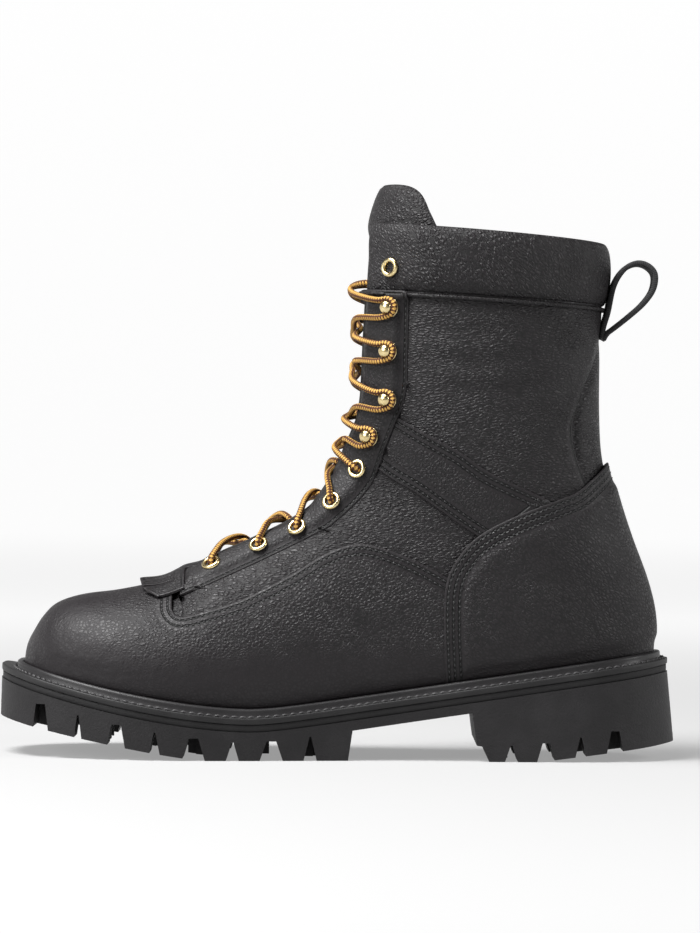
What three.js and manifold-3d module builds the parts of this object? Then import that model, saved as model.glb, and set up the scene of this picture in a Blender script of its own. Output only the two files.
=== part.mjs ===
// A black leather work boot, left foot, about EU 43: a hollow laced upper on a welted, lugged
// rubber sole. Millimetres, +Z up, toe towards -X, outer side of the foot towards -Y, and the
// origin on the floor under the middle of the boot.
import * as THREE from "three";
import { mergeVertices } from "three/addons/utils/BufferGeometryUtils.js";
import Module from "manifold-3d";

const wasm = await Module();
wasm.setup();

// Driving sizes of the upper
const upperLength = 295; // front of the toe to the back of the heel
const ballWidth = 101; // widest part of the forefoot
const ankleHeight = 125; // floor to the bend of the instep
const collarHeight = 250; // floor to the front of the collar's top edge
const wall = 2.8; // leather and lining together
const overlay = 1.6; // how far a stitched panel stands above the leather under it
const facingLift = 1.5; // how far the eyelet facings stand above the other panels
const backstayStep = 0.9; // how far the strip up the back lies below the side panels
const gap = 0.3; // room between pieces that touch on the real boot

// Driving sizes of the sole
const featherHeight = 23.4; // floor to the upper's lower edge at the ball
const toeSpring = 19; // extra height of that edge at the toe
const heelLift = 27; // extra height of that edge at the heel
const beadHeight = 4.1; // raised inner roll of the welt
const beadWidth = 3.2;
const weltThickness = 3;
const weltOverhang = 7; // welt beyond the upper, at the sides
const toeOverhang = 10.4; // the same at the toe
const heelOverhang = 6.6; // the same at the heel
const weltLip = 3; // welt under the upper's edge
const midsoleThickness = 2.8;
const outsoleThickness = 4.6; // rubber above the bottoms of the grooves, and at the waist
const treadPitch = 35.5; // one wide groove to the next
const wideGroove = 10.5; // its width at the tread
const narrowGroove = 6; // width at the tread of the groove between two wide ones
const grooveTaper = 0.42; // width at a wide groove's top, as a share of its width at the tread
const rimDepth = 21; // length of the lugs at the sole's edge, inwards
const centreLugSize = 13;
const heelLength = 92.6; // heel block at its top, front to back
const heelBevel = 0.13; // rise of the heel's back half, per unit of length
const heelFlare = 4; // how much wider the heel is at the floor
const insoleThickness = 4.4; // above the welt

// Driving sizes of the fittings
const padThickness = 3.4; // how far the padded collar stands out
const padInside = 4.2; // how far it stands in
const tongueThickness = 3.6;
const kiltieThickness = 1.5; // fringed flap under the laces
const fringeCuts = 4;
const throatHalfGap = 17; // half the gap between the two facings at the shaft
const throatFootHalfGap = 11.5; // the same where they begin
const eyeletRadius = 4.6;
const eyeletHole = 2.4;
const eyeletRim = 1.0;
const eyeletBarrel = 3.1;
const hookHeadRadius = 2.9;
const hookHeight = 5.4;
const hookNeckRadius = 1.4;
const laceDiameter = 3.1;
const loopWidth = 19;
const loopThickness = 2.6;

// Resolution of the curved pieces
const ringStep = 3.6; // across the ball
const outlineStep = 6.15; // along the upper
const stationStep = 1.15; // in stations of the last
const ringPoints = 2 * Math.round(ballWidth / ringStep / 2);
const outlinePoints = Math.round(upperLength / outlineStep);

const black = (name, color, roughness) =>
  new THREE.MeshStandardMaterial({ name, color, roughness, metalness: 0 });
const leather = black("leather", 0x1d1c1d, 0.55);
const smoothLeather = black("smooth_leather", 0x19181a, 0.45);
const rubber = black("rubber", 0x202022, 0.8);
const weltMaterial = black("welt", 0x1b1b1c, 0.6);
const lining = black("lining", 0x2a2623, 0.9);
const webbing = black("strap", 0x1b1b1b, 0.7);
const brass = new THREE.MeshStandardMaterial({
  name: "brass",
  color: 0xd9c584,
  roughness: 0.3,
  metalness: 1,
});
const cord = new THREE.MeshStandardMaterial({
  name: "lace",
  color: 0xc9962f,
  roughness: 0.8,
});

// Side-view places: along runs from the heel's back, 0, to the toe, 1. up is 1 at the ankle and 2 at the collar.
const heelBackX = 0.5034 * upperLength;
const alongToX = (along) => heelBackX - along * upperLength;
const xToAlong = (x) => (heelBackX - x) / upperLength;
const upToZ = (up) =>
  up <= 1
    ? up * ankleHeight
    : ankleHeight + (up - 1) * (collarHeight - ankleHeight);
const place = ([along, up]) => new THREE.Vector2(alongToX(along), upToZ(up));

// Sections of the last. Each is a ring in a plane across the boot, from a base point at the sole or
// the heel's back to a crest point on the instep or the shin. half and shift are the ring's half
// width and its centre's shift to the inner side, as shares of the ball's width. mid is the height
// of the widest place as a share of the ring, and low and high are how square the ring is under and
// over it, with 2 for round.
const sections = [
  { baseAlong: 0.996, baseUp: 0.3, crestAlong: 0.996, crestUp: 0.357, half: 0.07, shift: 0.07, mid: 0.5, low: 2.1, high: 2.1 },
  { baseAlong: 0.9915, baseUp: 0.272, crestAlong: 0.992, crestUp: 0.399, half: 0.17, shift: 0.066, mid: 0.46, low: 2.4, high: 2.2 },
  { baseAlong: 0.981, baseUp: 0.254, crestAlong: 0.982, crestUp: 0.444, half: 0.252, shift: 0.06, mid: 0.43, low: 2.7, high: 2.3 },
  { baseAlong: 0.9655, baseUp: 0.236, crestAlong: 0.967, crestUp: 0.501, half: 0.325, shift: 0.054, mid: 0.4, low: 3, high: 2.35 },
  { baseAlong: 0.945, baseUp: 0.218, crestAlong: 0.946, crestUp: 0.547, half: 0.39, shift: 0.044, mid: 0.38, low: 3.2, high: 2.35 },
  { baseAlong: 0.905, baseUp: 0.2, crestAlong: 0.907, crestUp: 0.577, half: 0.444, shift: 0.03, mid: 0.36, low: 3.3, high: 2.3 },
  { baseAlong: 0.849, baseUp: 0.175, crestAlong: 0.851, crestUp: 0.596, half: 0.483, shift: 0.014, mid: 0.34, low: 3.4, high: 2.2 },
  { baseAlong: 0.793, baseUp: 0.154, crestAlong: 0.795, crestUp: 0.627, half: 0.498, shift: 0, mid: 0.32, low: 3.4, high: 2.05 },
  { baseAlong: 0.741, baseUp: 0.137, crestAlong: 0.748, crestUp: 0.679, half: 0.495, shift: -0.009, mid: 0.3, low: 3.4, high: 1.95 },
  { baseAlong: 0.697, baseUp: 0.122, crestAlong: 0.703, crestUp: 0.754, half: 0.48, shift: -0.013, mid: 0.29, low: 3.4, high: 1.88 },
  { baseAlong: 0.645, baseUp: 0.112, crestAlong: 0.65, crestUp: 0.818, half: 0.458, shift: -0.016, mid: 0.29, low: 3.4, high: 1.84 },
  { baseAlong: 0.586, baseUp: 0.118, crestAlong: 0.592, crestUp: 0.89, half: 0.428, shift: -0.018, mid: 0.3, low: 3.4, high: 1.84 },
  { baseAlong: 0.514, baseUp: 0.15, crestAlong: 0.554, crestUp: 0.946, half: 0.398, shift: -0.018, mid: 0.31, low: 3.4, high: 2 },
  { baseAlong: 0.427, baseUp: 0.186, crestAlong: 0.539, crestUp: 0.986, half: 0.376, shift: -0.014, mid: 0.33, low: 3.4, high: 2.2 },
  { baseAlong: 0.324, baseUp: 0.218, crestAlong: 0.528, crestUp: 1.024, half: 0.36, shift: -0.01, mid: 0.35, low: 3.4, high: 2.4 },
  { baseAlong: 0.212, baseUp: 0.254, crestAlong: 0.52, crestUp: 1.061, half: 0.354, shift: -0.005, mid: 0.37, low: 3.3, high: 2.5 },
  { baseAlong: 0.101, baseUp: 0.284, crestAlong: 0.513, crestUp: 1.094, half: 0.352, shift: 0, mid: 0.4, low: 2.9, high: 2.55 },
  { baseAlong: 0.042, baseUp: 0.301, crestAlong: 0.5095, crestUp: 1.112, half: 0.352, shift: 0, mid: 0.42, low: 2.5, high: 2.6 },
  { baseAlong: 0.0125, baseUp: 0.35, crestAlong: 0.5065, crestUp: 1.128, half: 0.353, shift: 0, mid: 0.43, low: 2.25, high: 2.6 },
  { baseAlong: 0.0055, baseUp: 0.44, crestAlong: 0.5035, crestUp: 1.146, half: 0.355, shift: 0, mid: 0.44, low: 2.12, high: 2.6 },
  { baseAlong: 0.0075, baseUp: 0.546, crestAlong: 0.499, crestUp: 1.172, half: 0.36, shift: 0, mid: 0.45, low: 2.08, high: 2.6 },
  { baseAlong: 0.0205, baseUp: 0.666, crestAlong: 0.4955, crestUp: 1.198, half: 0.366, shift: 0, mid: 0.46, low: 2.06, high: 2.55 },
  { baseAlong: 0.0455, baseUp: 0.822, crestAlong: 0.4905, crestUp: 1.234, half: 0.374, shift: 0, mid: 0.47, low: 2.05, high: 2.5 },
  { baseAlong: 0.0665, baseUp: 0.972, crestAlong: 0.486, crestUp: 1.28, half: 0.383, shift: 0, mid: 0.48, low: 2.05, high: 2.4 },
  { baseAlong: 0.083, baseUp: 1.122, crestAlong: 0.483, crestUp: 1.36, half: 0.394, shift: 0, mid: 0.49, low: 2.05, high: 2.3 },
  { baseAlong: 0.088, baseUp: 1.284, crestAlong: 0.4825, crestUp: 1.464, half: 0.403, shift: 0, mid: 0.5, low: 2.05, high: 2.2 },
  { baseAlong: 0.0885, baseUp: 1.488, crestAlong: 0.4815, crestUp: 1.592, half: 0.412, shift: 0, mid: 0.5, low: 2.05, high: 2.1 },
  { baseAlong: 0.088, baseUp: 1.692, crestAlong: 0.479, crestUp: 1.74, half: 0.418, shift: 0, mid: 0.5, low: 2.05, high: 2.05 },
  { baseAlong: 0.0865, baseUp: 1.808, crestAlong: 0.476, crestUp: 1.864, half: 0.421, shift: 0, mid: 0.5, low: 2.05, high: 2 },
  { baseAlong: 0.086, baseUp: 1.92, crestAlong: 0.473, crestUp: 1.988, half: 0.422, shift: 0, mid: 0.5, low: 2.05, high: 2 },
  { baseAlong: 0.083, baseUp: 2.072, crestAlong: 0.439, crestUp: 2.164, half: 0.412, shift: 0, mid: 0.5, low: 2.05, high: 2 },
];
const lastStation = sections.length - 1;
const lowStation = 18; // last section whose base is under the upper's lower edge
const throatStation = 8; // section at which the facings begin
const shaftStation = 25; // section at which the shaft runs straight
const seamStation = 27; // section under the collar
const collarStation = 29; // section at the collar's top edge

// A section's values at a station between two rows of the table, by a Catmull-Rom curve
function sectionAt(station) {
  const t = Math.min(Math.max(station, 0), lastStation);
  const i = Math.min(Math.floor(t), lastStation - 1);
  const f = t - i;
  const row = (k) => sections[Math.min(Math.max(k, 0), lastStation)];
  const made = {};
  for (const key of Object.keys(sections[0])) {
    const [a, b, c, d] = [row(i - 1)[key], row(i)[key], row(i + 1)[key], row(i + 2)[key]];
    made[key] =
      b +
      0.5 * f * (c - a + f * (2 * a - 5 * b + 4 * c - d + f * (3 * (b - c) + d - a)));
  }
  return made;
}

// A point of the last. angle is 0 at the base, a half turn at the crest, and under a half turn on the outer side.
function formPoint(station, angle) {
  const s = sectionAt(station);
  const cos = Math.cos(angle);
  const sin = Math.sin(angle);
  const power = 2 / (cos > 0 ? s.low : s.high);
  const rise = Math.abs(cos) ** power;
  const f = cos > 0 ? s.mid * (1 - rise) : s.mid + (1 - s.mid) * rise;
  const base = place([s.baseAlong, s.baseUp]);
  const crest = place([s.crestAlong, s.crestUp]);
  const y = s.shift - s.half * Math.sign(sin) * Math.abs(sin) ** power;
  return new THREE.Vector3(
    base.x + (crest.x - base.x) * f,
    y * ballWidth,
    base.y + (crest.y - base.y) * f,
  );
}

const stationNudge = 0.05;
const angleNudge = 0.03;

function formNormal(station, angle) {
  const low = Math.max(station - stationNudge, 0);
  const high = Math.min(station + stationNudge, lastStation);
  const along = formPoint(high, angle).sub(formPoint(low, angle));
  const around = formPoint(station, angle + angleNudge).sub(
    formPoint(station, angle - angleNudge),
  );
  return along.cross(around).normalize();
}

// A point a distance above the last, or under it
const formOffset = (station, angle, distance) =>
  formPoint(station, angle).addScaledVector(formNormal(station, angle), distance);

// The station and angle of the last at a side-view place, on the outer side (-1) or the inner side (1)
function locate(x, z, side) {
  const across = (t) => {
    const s = sectionAt(t);
    const base = place([s.baseAlong, s.baseUp]);
    const crest = place([s.crestAlong, s.crestUp]);
    return (crest.x - base.x) * (z - base.y) - (crest.y - base.y) * (x - base.x);
  };
  let low = 0;
  let high = lastStation;
  const sign = Math.sign(across(low));
  for (let k = 0; k < 40; k++) {
    const middle = (low + high) / 2;
    if (Math.sign(across(middle)) === sign) low = middle;
    else high = middle;
  }
  const station = (low + high) / 2;
  const s = sectionAt(station);
  const base = place([s.baseAlong, s.baseUp]);
  const crest = place([s.crestAlong, s.crestUp]);
  const f =
    Math.hypot(x - base.x, z - base.y) / Math.hypot(crest.x - base.x, crest.y - base.y);
  const part = f < s.mid ? 1 - f / s.mid : (f - s.mid) / (1 - s.mid);
  const cos = Math.min(part, 1) ** ((f < s.mid ? s.low : s.high) / 2);
  const angle = f < s.mid ? Math.acos(cos) : Math.PI - Math.acos(cos);
  return { station, angle: side < 0 ? angle : 2 * Math.PI - angle };
}

// Solids
function solidOf(geometry) {
  geometry.deleteAttribute("normal");
  geometry.deleteAttribute("uv");
  const merged = mergeVertices(geometry, 1e-4);
  return new wasm.Manifold(
    new wasm.Mesh({
      numProp: 3,
      vertProperties: new Float32Array(merged.attributes.position.array),
      triVerts: new Uint32Array(merged.index.array),
    }),
  );
}

// A closed solid through rings that have the same number of points, with a flat fan over each end
function loft(rings) {
  const n = rings[0].length;
  const positions = rings.flat().flatMap((p) => [p.x, p.y, p.z]);
  const faces = [];
  for (let r = 0; r + 1 < rings.length; r++)
    for (let i = 0; i < n; i++) {
      const j = (i + 1) % n;
      const [a, b, c, d] = [r * n + i, r * n + j, (r + 1) * n + j, (r + 1) * n + i];
      faces.push(a, b, c, a, c, d);
    }
  const end = (rings.length - 1) * n;
  for (let i = 1; i + 1 < n; i++) {
    faces.push(0, i + 1, i);
    faces.push(end, end + i, end + i + 1);
  }
  return facing(positions, faces);
}

// The same surface closed on itself, such as a strip that runs all round the boot
function loop(rings) {
  const n = rings[0].length;
  const count = rings.length;
  const positions = rings.flat().flatMap((p) => [p.x, p.y, p.z]);
  const faces = [];
  for (let r = 0; r < count; r++)
    for (let i = 0; i < n; i++) {
      const j = (i + 1) % n;
      const s = (r + 1) % count;
      faces.push(r * n + i, r * n + j, s * n + j, r * n + i, s * n + j, s * n + i);
    }
  return facing(positions, faces);
}

// Turns the faces outwards
function facing(positions, faces) {
  const build = (triangles) =>
    new wasm.Manifold(
      new wasm.Mesh({
        numProp: 3,
        vertProperties: new Float32Array(positions),
        triVerts: new Uint32Array(triangles),
      }),
    );
  const made = build(faces);
  if (made.volume() > 0) return made;
  const turned = [];
  for (let i = 0; i < faces.length; i += 3) turned.push(faces[i], faces[i + 2], faces[i + 1]);
  return build(turned);
}

const reach = 400; // longer than the boot, for cutters

// A side-view outline, in x and z, as a cutter through the whole boot
function sideCutter(outline, from = -reach, to = reach) {
  const shape = new THREE.Shape(outline.map((p) => new THREE.Vector2(p.x, p.y)));
  const geometry = new THREE.ExtrudeGeometry(shape, { depth: to - from, bevelEnabled: false });
  geometry.rotateX(Math.PI / 2);
  geometry.translate(0, to, 0);
  return solidOf(geometry);
}

// A top-view outline, in x and y, as a cutter of full height
function topCutter(outline, from = -reach, to = reach) {
  const shape = new THREE.Shape(outline.map((p) => new THREE.Vector2(p.x, p.y)));
  const geometry = new THREE.ExtrudeGeometry(shape, { depth: to - from, bevelEnabled: false });
  geometry.translate(0, 0, from);
  return solidOf(geometry);
}

const flatness = 0.12; // faces closer than this to one plane are joined

function meshOf(solid, name, material) {
  const { numProp, numVert, vertProperties, triVerts } = solid.asOriginal().simplify(flatness).getMesh();
  const positions = new Float32Array(numVert * 3);
  for (let i = 0; i < numVert; i++)
    positions.set(vertProperties.subarray(i * numProp, i * numProp + 3), i * 3);
  const geometry = new THREE.BufferGeometry()
    .setAttribute("position", new THREE.BufferAttribute(positions, 3))
    .setIndex(new THREE.BufferAttribute(triVerts, 1));
  geometry.computeVertexNormals();
  const mesh = new THREE.Mesh(geometry, material);
  mesh.name = name;
  return mesh;
}

// The last as a solid, swollen or shrunk by an offset
function form(offset, points = ringPoints, step = stationStep) {
  const count = Math.ceil(lastStation / step);
  const rings = [];
  for (let k = 0; k <= count; k++) {
    const station = (k / count) * lastStation;
    rings.push(
      Array.from({ length: points }, (_, i) =>
        formOffset(station, (i / points) * 2 * Math.PI, offset),
      ),
    );
  }
  return loft(rings);
}

// The inside needs fewer faces than the outside.
const innerForm = (offset) => form(offset, 20, 1.3);

// A smooth curve through side-view places
const spline = (shares, count) =>
  new THREE.SplineCurve(shares.map(place)).getPoints(count ?? Math.round(shares.length * 1.7));

// Heights of the sole's layers
const ballAlong = 0.64;
const springPower = 1.6;
const liftBlend = 0.08;

function featherZ(x) {
  const along = xToAlong(x);
  if (along > ballAlong)
    return featherHeight + toeSpring * ((along - ballAlong) / (1 - ballAlong)) ** springPower;
  const t = (ballAlong - along) / ballAlong;
  const lift =
    (Math.hypot(t, liftBlend) - liftBlend) / (Math.hypot(1, liftBlend) - liftBlend);
  return featherHeight + heelLift * lift;
}
const weltTopZ = (x) => featherZ(x) - beadHeight;
const weltUnderZ = (x) => weltTopZ(x) - weltThickness;
const midsoleTopZ = (x) => weltUnderZ(x) - gap;
const midsoleUnderZ = (x) => midsoleTopZ(x) - midsoleThickness;
const outsoleTopZ = (x) => midsoleUnderZ(x) - gap;
const grooveTopZ = (x) => outsoleTopZ(x) - outsoleThickness;

// An edge of the last seen from above, where a form with an offset reaches a height that a
// function gives. It is an even closed curve with outward normals, from the heel round the outer side.
function edgeOutline(offset, heightAt) {
  const reached = (p) => p.z >= heightAt(p.x);
  const search = (pointAt, from, to) => {
    let [low, high] = [from, to];
    for (let n = 0; n < 30; n++) {
      const middle = (low + high) / 2;
      if (reached(pointAt(middle))) high = middle;
      else low = middle;
    }
    return pointAt(high).setZ(0);
  };
  const half = (side) =>
    Array.from({ length: lowStation + 1 }, (_, k) =>
      search((a) => formOffset(k, side < 0 ? a : 2 * Math.PI - a, offset), 0, Math.PI / 2),
    );
  const heelBack = search((t) => formOffset(t, 0, offset), lowStation, shaftStation).setY(0);
  const toeFront = new THREE.Vector3(
    alongToX(sections[0].baseAlong) - offset,
    sections[0].shift * ballWidth,
    0,
  );
  const points = [heelBack, ...half(-1).reverse(), toeFront, ...half(1)];
  const curve = new THREE.CatmullRomCurve3(points, true, "centripetal");
  curve.arcLengthDivisions = 800;
  const even = curve.getSpacedPoints(outlinePoints).slice(0, outlinePoints);
  return even.map((p, i) => {
    const before = even[(i + outlinePoints - 1) % outlinePoints];
    const after = even[(i + 1) % outlinePoints];
    const normal = new THREE.Vector2(before.y - after.y, after.x - before.x).normalize();
    return { x: p.x, y: p.y, nx: normal.x, ny: normal.y };
  });
}
const feather = edgeOutline(overlay, featherZ);

// How far the sole stands out at a point of the edge, with a share of that and an extra flare
function soleRim(p, extra = 0) {
  const front = Math.max(0, -p.nx) ** 2;
  const back = Math.max(0, p.nx) ** 2;
  const out =
    weltOverhang +
    (toeOverhang - weltOverhang) * front +
    (heelOverhang - weltOverhang) * back +
    extra;
  return shifted(p, out);
}
const shifted = (p, out) => ({ x: p.x + p.nx * out, y: p.y + p.ny * out });

// A slab between two heights over an outline
function slab(rim, topZ, underZ, underRim = rim) {
  const n = rim.length;
  const positions = [];
  for (const p of rim) positions.push(p.x, p.y, topZ(p.x));
  for (const p of underRim) positions.push(p.x, p.y, underZ(p.x));
  const faces = [];
  for (let i = 0; i < n; i++) {
    const j = (i + 1) % n;
    faces.push(i, j, n + j, i, n + j, n + i);
  }
  // Each cap is a ladder of triangles between the outer and the inner side.
  let a = 0;
  let b = n;
  while (b - a > 1) {
    const [left, right] = [a, b % n];
    const next = a + 1;
    faces.push(left, right, next, n + left, n + next, n + right);
    a = next;
    if (b - a > 1) {
      const [low, high, then] = [a, b % n, b - 1];
      faces.push(low, high, then, n + low, n + then, n + high);
      b -= 1;
    }
  }
  return facing(positions, faces);
}

// Upper
const vampSeam = [
  [0.33, 0.67], [0.378, 0.728], [0.434, 0.779], [0.478, 0.791], [0.526, 0.75], [0.58, 0.671],
  [0.653, 0.582], [0.709, 0.538], [0.746, 0.515], [0.76, 0.535], [0.762, 0.575],
];
const counterEdge = [
  [0.332, 0.2], [0.338, 0.48], [0.336, 0.637], [0.321, 0.729], [0.288, 0.822], [0.234, 0.896],
  [0.156, 0.969], [0.13, 0.997], [0.097, 1.066], [0.082, 1.103],
];
const strapUpper = [
  [0.43, 1.29], [0.365, 1.202], [0.315, 1.138], [0.275, 1.073], [0.235, 1.026], [0.17, 0.957],
];
const strapLower = [
  [0.47, 1.13], [0.43, 1.05], [0.384, 0.985], [0.344, 0.919], [0.306, 0.858], [0.26, 0.79],
];
const eyestayRear = [
  [0.396, 1.75], [0.397, 1.502], [0.4, 1.347], [0.424, 1.179], [0.454, 1.006], [0.508, 0.872],
  [0.545, 0.819], [0.619, 0.731], [0.692, 0.65], [0.75, 0.588],
];
const backstayEdge = [
  [0.09, 1.7], [0.094, 1.52], [0.11, 1.423], [0.125, 1.316], [0.136, 1.219], [0.125, 1.102],
  [0.105, 1.0],
];
const facingFront = 0.75; // where the facings stop over the toe

// Ahead of the counter's edge and under the vamp's seam
function vampOutline() {
  const seam = spline(vampSeam);
  const last = seam[seam.length - 1];
  return [
    ...seam,
    new THREE.Vector2(last.x, reach),
    new THREE.Vector2(-reach, reach),
    new THREE.Vector2(-reach, -reach),
    new THREE.Vector2(seam[0].x, -reach),
  ];
}

function counterOutline() {
  const edge = spline(counterEdge);
  const last = edge[edge.length - 1];
  return [
    new THREE.Vector2(edge[0].x, -reach),
    ...edge,
    new THREE.Vector2(last.x + reach, last.y + 2),
    new THREE.Vector2(reach * 2, -reach),
  ];
}

function strapOutline() {
  return [...spline(strapUpper), ...spline(strapLower).reverse()];
}

function eyestayOutline() {
  const rear = spline(eyestayRear);
  return [
    ...rear,
    new THREE.Vector2(rear[rear.length - 1].x, collarHeight),
    new THREE.Vector2(rear[0].x, collarHeight),
  ];
}

function backstayOutline() {
  const edge = spline(backstayEdge);
  return [
    ...edge,
    new THREE.Vector2(heelBackX + reach, edge[edge.length - 1].y),
    new THREE.Vector2(heelBackX + reach, edge[0].y),
  ];
}

// Half the gap between the facings at a station
function throatHalf(station) {
  const share = THREE.MathUtils.smoothstep(station, shaftStation - 6, shaftStation);
  return throatFootHalfGap + (throatHalfGap - throatFootHalfGap) * share;
}

// A wedge that opens the throat from its foot to above the collar
function throatCutter() {
  const depth = 15;
  const above = 12;
  const rings = [];
  for (let t = throatStation - 0.4; t <= lastStation + 0.01; t += 0.9) {
    const crest = formPoint(t, Math.PI);
    const normal = formNormal(t, Math.PI);
    const half = throatHalf(t);
    const low = crest.clone().addScaledVector(normal, -depth);
    const high = crest.clone().addScaledVector(normal, above);
    rings.push([
      new THREE.Vector3(low.x, crest.y - half, low.z),
      new THREE.Vector3(low.x, crest.y + half, low.z),
      new THREE.Vector3(high.x, crest.y + half, high.z),
      new THREE.Vector3(high.x, crest.y - half, high.z),
    ]);
  }
  const rise = new THREE.Vector3(0, 0, collarHeight * 0.16);
  const top = rings[rings.length - 1].map((p) => p.clone().add(rise));
  return loft([...rings, top]);
}

// Everything over the seam under the collar
function aboveSeam(lift) {
  const s = sectionAt(seamStation);
  const base = place([s.baseAlong, s.baseUp]);
  const crest = place([s.crestAlong, s.crestUp]);
  const slope = (crest.y - base.y) / (crest.x - base.x);
  const at = (x) => base.y + slope * (x - base.x) + lift;
  return sideCutter([
    new THREE.Vector2(-reach, at(-reach)),
    new THREE.Vector2(reach, at(reach)),
    new THREE.Vector2(reach, reach * 2),
    new THREE.Vector2(-reach, reach * 2),
  ]);
}

// Everything under a line drawn in the side view, such as the upper's edge on the welt
const underWelt = (lift) => underLine((x) => weltTopZ(x) + lift);
function underLine(heightAt) {
  const steps = 24;
  const line = [];
  for (let i = 0; i <= steps; i++) {
    const x = alongToX(1.1) + ((alongToX(-0.1) - alongToX(1.1)) * i) / steps;
    line.push(new THREE.Vector2(x, heightAt(x)));
  }
  return sideCutter([
    ...line,
    new THREE.Vector2(reach, line[steps].y),
    new THREE.Vector2(reach, -reach),
    new THREE.Vector2(-reach, -reach),
    new THREE.Vector2(-reach, line[0].y),
  ]);
}

// Lacing places down the throat, as side-view shares. The last one is the free eyelet in the collar.
const lacingRows = [
  { kind: "eyelet", at: [0.6997, 0.699] },
  { kind: "eyelet", at: [0.6265, 0.771] },
  { kind: "eyelet", at: [0.5655, 0.839] },
  { kind: "eyelet", at: [0.5112, 0.941] },
  { kind: "eyelet", at: [0.4709, 1.067] },
  { kind: "hook", at: [0.4502, 1.19] },
  { kind: "hook", at: [0.4234, 1.328] },
  { kind: "hook", at: [0.4227, 1.506] },
  { kind: "hook", at: [0.421, 1.668] },
  { kind: "eyelet", at: [0.4224, 1.816] },
];
const sides = [
  { side: -1, name: "outer" },
  { side: 1, name: "inner" },
];

// Place and outward direction of a lacing point, at a height above the last
function lacingPoint(row, side, height) {
  const spot = place(row.at);
  const { station, angle } = locate(spot.x, spot.y, side);
  const normal = formNormal(station, angle);
  return { at: formPoint(station, angle).addScaledVector(normal, height), normal };
}

const eyeletHoleCutter = (row, side, radius) => {
  const { at, normal } = lacingPoint(row, side, 0);
  const geometry = new THREE.CylinderGeometry(radius, radius, 16, 9);
  geometry.applyQuaternion(
    new THREE.Quaternion().setFromUnitVectors(new THREE.Vector3(0, 1, 0), normal),
  );
  geometry.translate(at.x, at.y, at.z);
  return solidOf(geometry);
};

function eyeletHoles(rows) {
  return rows
    .filter((row) => row.kind === "eyelet")
    .flatMap((row) => sides.map(({ side }) => eyeletHoleCutter(row, side, eyeletBarrel + gap * 1.8)))
    .reduce((all, one) => all.add(one));
}

const throat = throatCutter();
const shaftHoles = eyeletHoles(lacingRows.slice(0, -1));
const counterArea = sideCutter(counterOutline());
const strapArea = sideCutter(strapOutline());
const eyestayArea = sideCutter(eyestayOutline());
const plainForm = form(0);
const raisedForm = form(overlay);
const liftedForm = form(gap);

// The space a stitched overlay fills, between its underside and its face
const overlaySpace = raisedForm.subtract(liftedForm);

function upper() {
  const vamp = raisedForm
    .intersect(sideCutter(vampOutline()))
    .subtract(counterArea.translate([-gap * 1.5, 0, gap * 1.5]));
  const strip = raisedForm.subtract(form(-backstayStep)).intersect(sideCutter(backstayOutline()));
  return plainForm
    .subtract(strip)
    .add(vamp)
    .subtract(innerForm(-wall))
    .subtract(underWelt(gap))
    .subtract(aboveSeam(0))
    .subtract(throat)
    .subtract(shaftHoles);
}

// The part of a solid on the outer side (-1) or the inner side (1)
function sideOf(solid, side) {
  return solid
    .decompose()
    .filter((one) => {
      const { min, max } = one.boundingBox();
      return Math.sign(min[1] + max[1]) === side;
    })
    .reduce((most, one) => (one.volume() > most.volume() ? one : most));
}

function heelCounter() {
  return overlaySpace.intersect(counterArea).subtract(underWelt(gap));
}

function ankleStraps() {
  return overlaySpace
    .intersect(strapArea)
    .subtract(counterArea.translate([-gap * 1.5, 0, gap * 1.5]))
    .subtract(eyestayArea.translate([gap * 1.5, 0, -gap * 1.5]));
}

// The facings lie on the vamp's raised edge at their front, so they are cut clear of it.
function eyestays() {
  const vampTop = form(overlay + gap).intersect(
    sideCutter(vampOutline()).translate([gap, 0, gap]),
  );
  return form(overlay + facingLift)
    .subtract(liftedForm)
    .intersect(eyestayArea)
    .subtract(vampTop)
    .subtract(throat)
    .subtract(aboveSeam(-gap))
    .subtract(shaftHoles);
}

// Padded collar: a bulging strip from one facing round the back to the other
function collar() {
  const around = 28;
  const start = Math.asin(throatHalf(collarStation) / (sections[collarStation].half * ballWidth));
  const openAngle = start * 1.02;
  // Each corner of the strip's profile: share of the height, and share of the pad outwards or inwards
  const profile = [
    [0, 0.25], [0.14, 0.8], [0.5, 1], [0.85, 0.8], [1, 0.15], [0.97, -0.6], [0.75, -1], [0, -0.75],
  ];
  const rings = [];
  for (let k = 0; k <= around; k++) {
    const turn = Math.PI + openAngle + ((2 * Math.PI - 2 * openAngle) * k) / around;
    const fromFront = Math.min(turn - Math.PI, 3 * Math.PI - turn);
    const full = THREE.MathUtils.smoothstep(fromFront, openAngle, openAngle + 1.1);
    const out = padThickness * (0.42 + 0.58 * full);
    const inside = padInside * (0.7 + 0.3 * full);
    rings.push(
      profile.map(([rise, depth]) => {
        const station = seamStation + (collarStation - seamStation) * rise;
        const offset = depth > 0 ? depth * out : depth * inside;
        const p = formOffset(station, turn, offset);
        return new THREE.Vector3(p.x, p.y, p.z + gap * (1 - rise));
      }),
    );
  }
  return loft(rings).subtract(eyeletHoles(lacingRows.slice(-1)));
}

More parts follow.
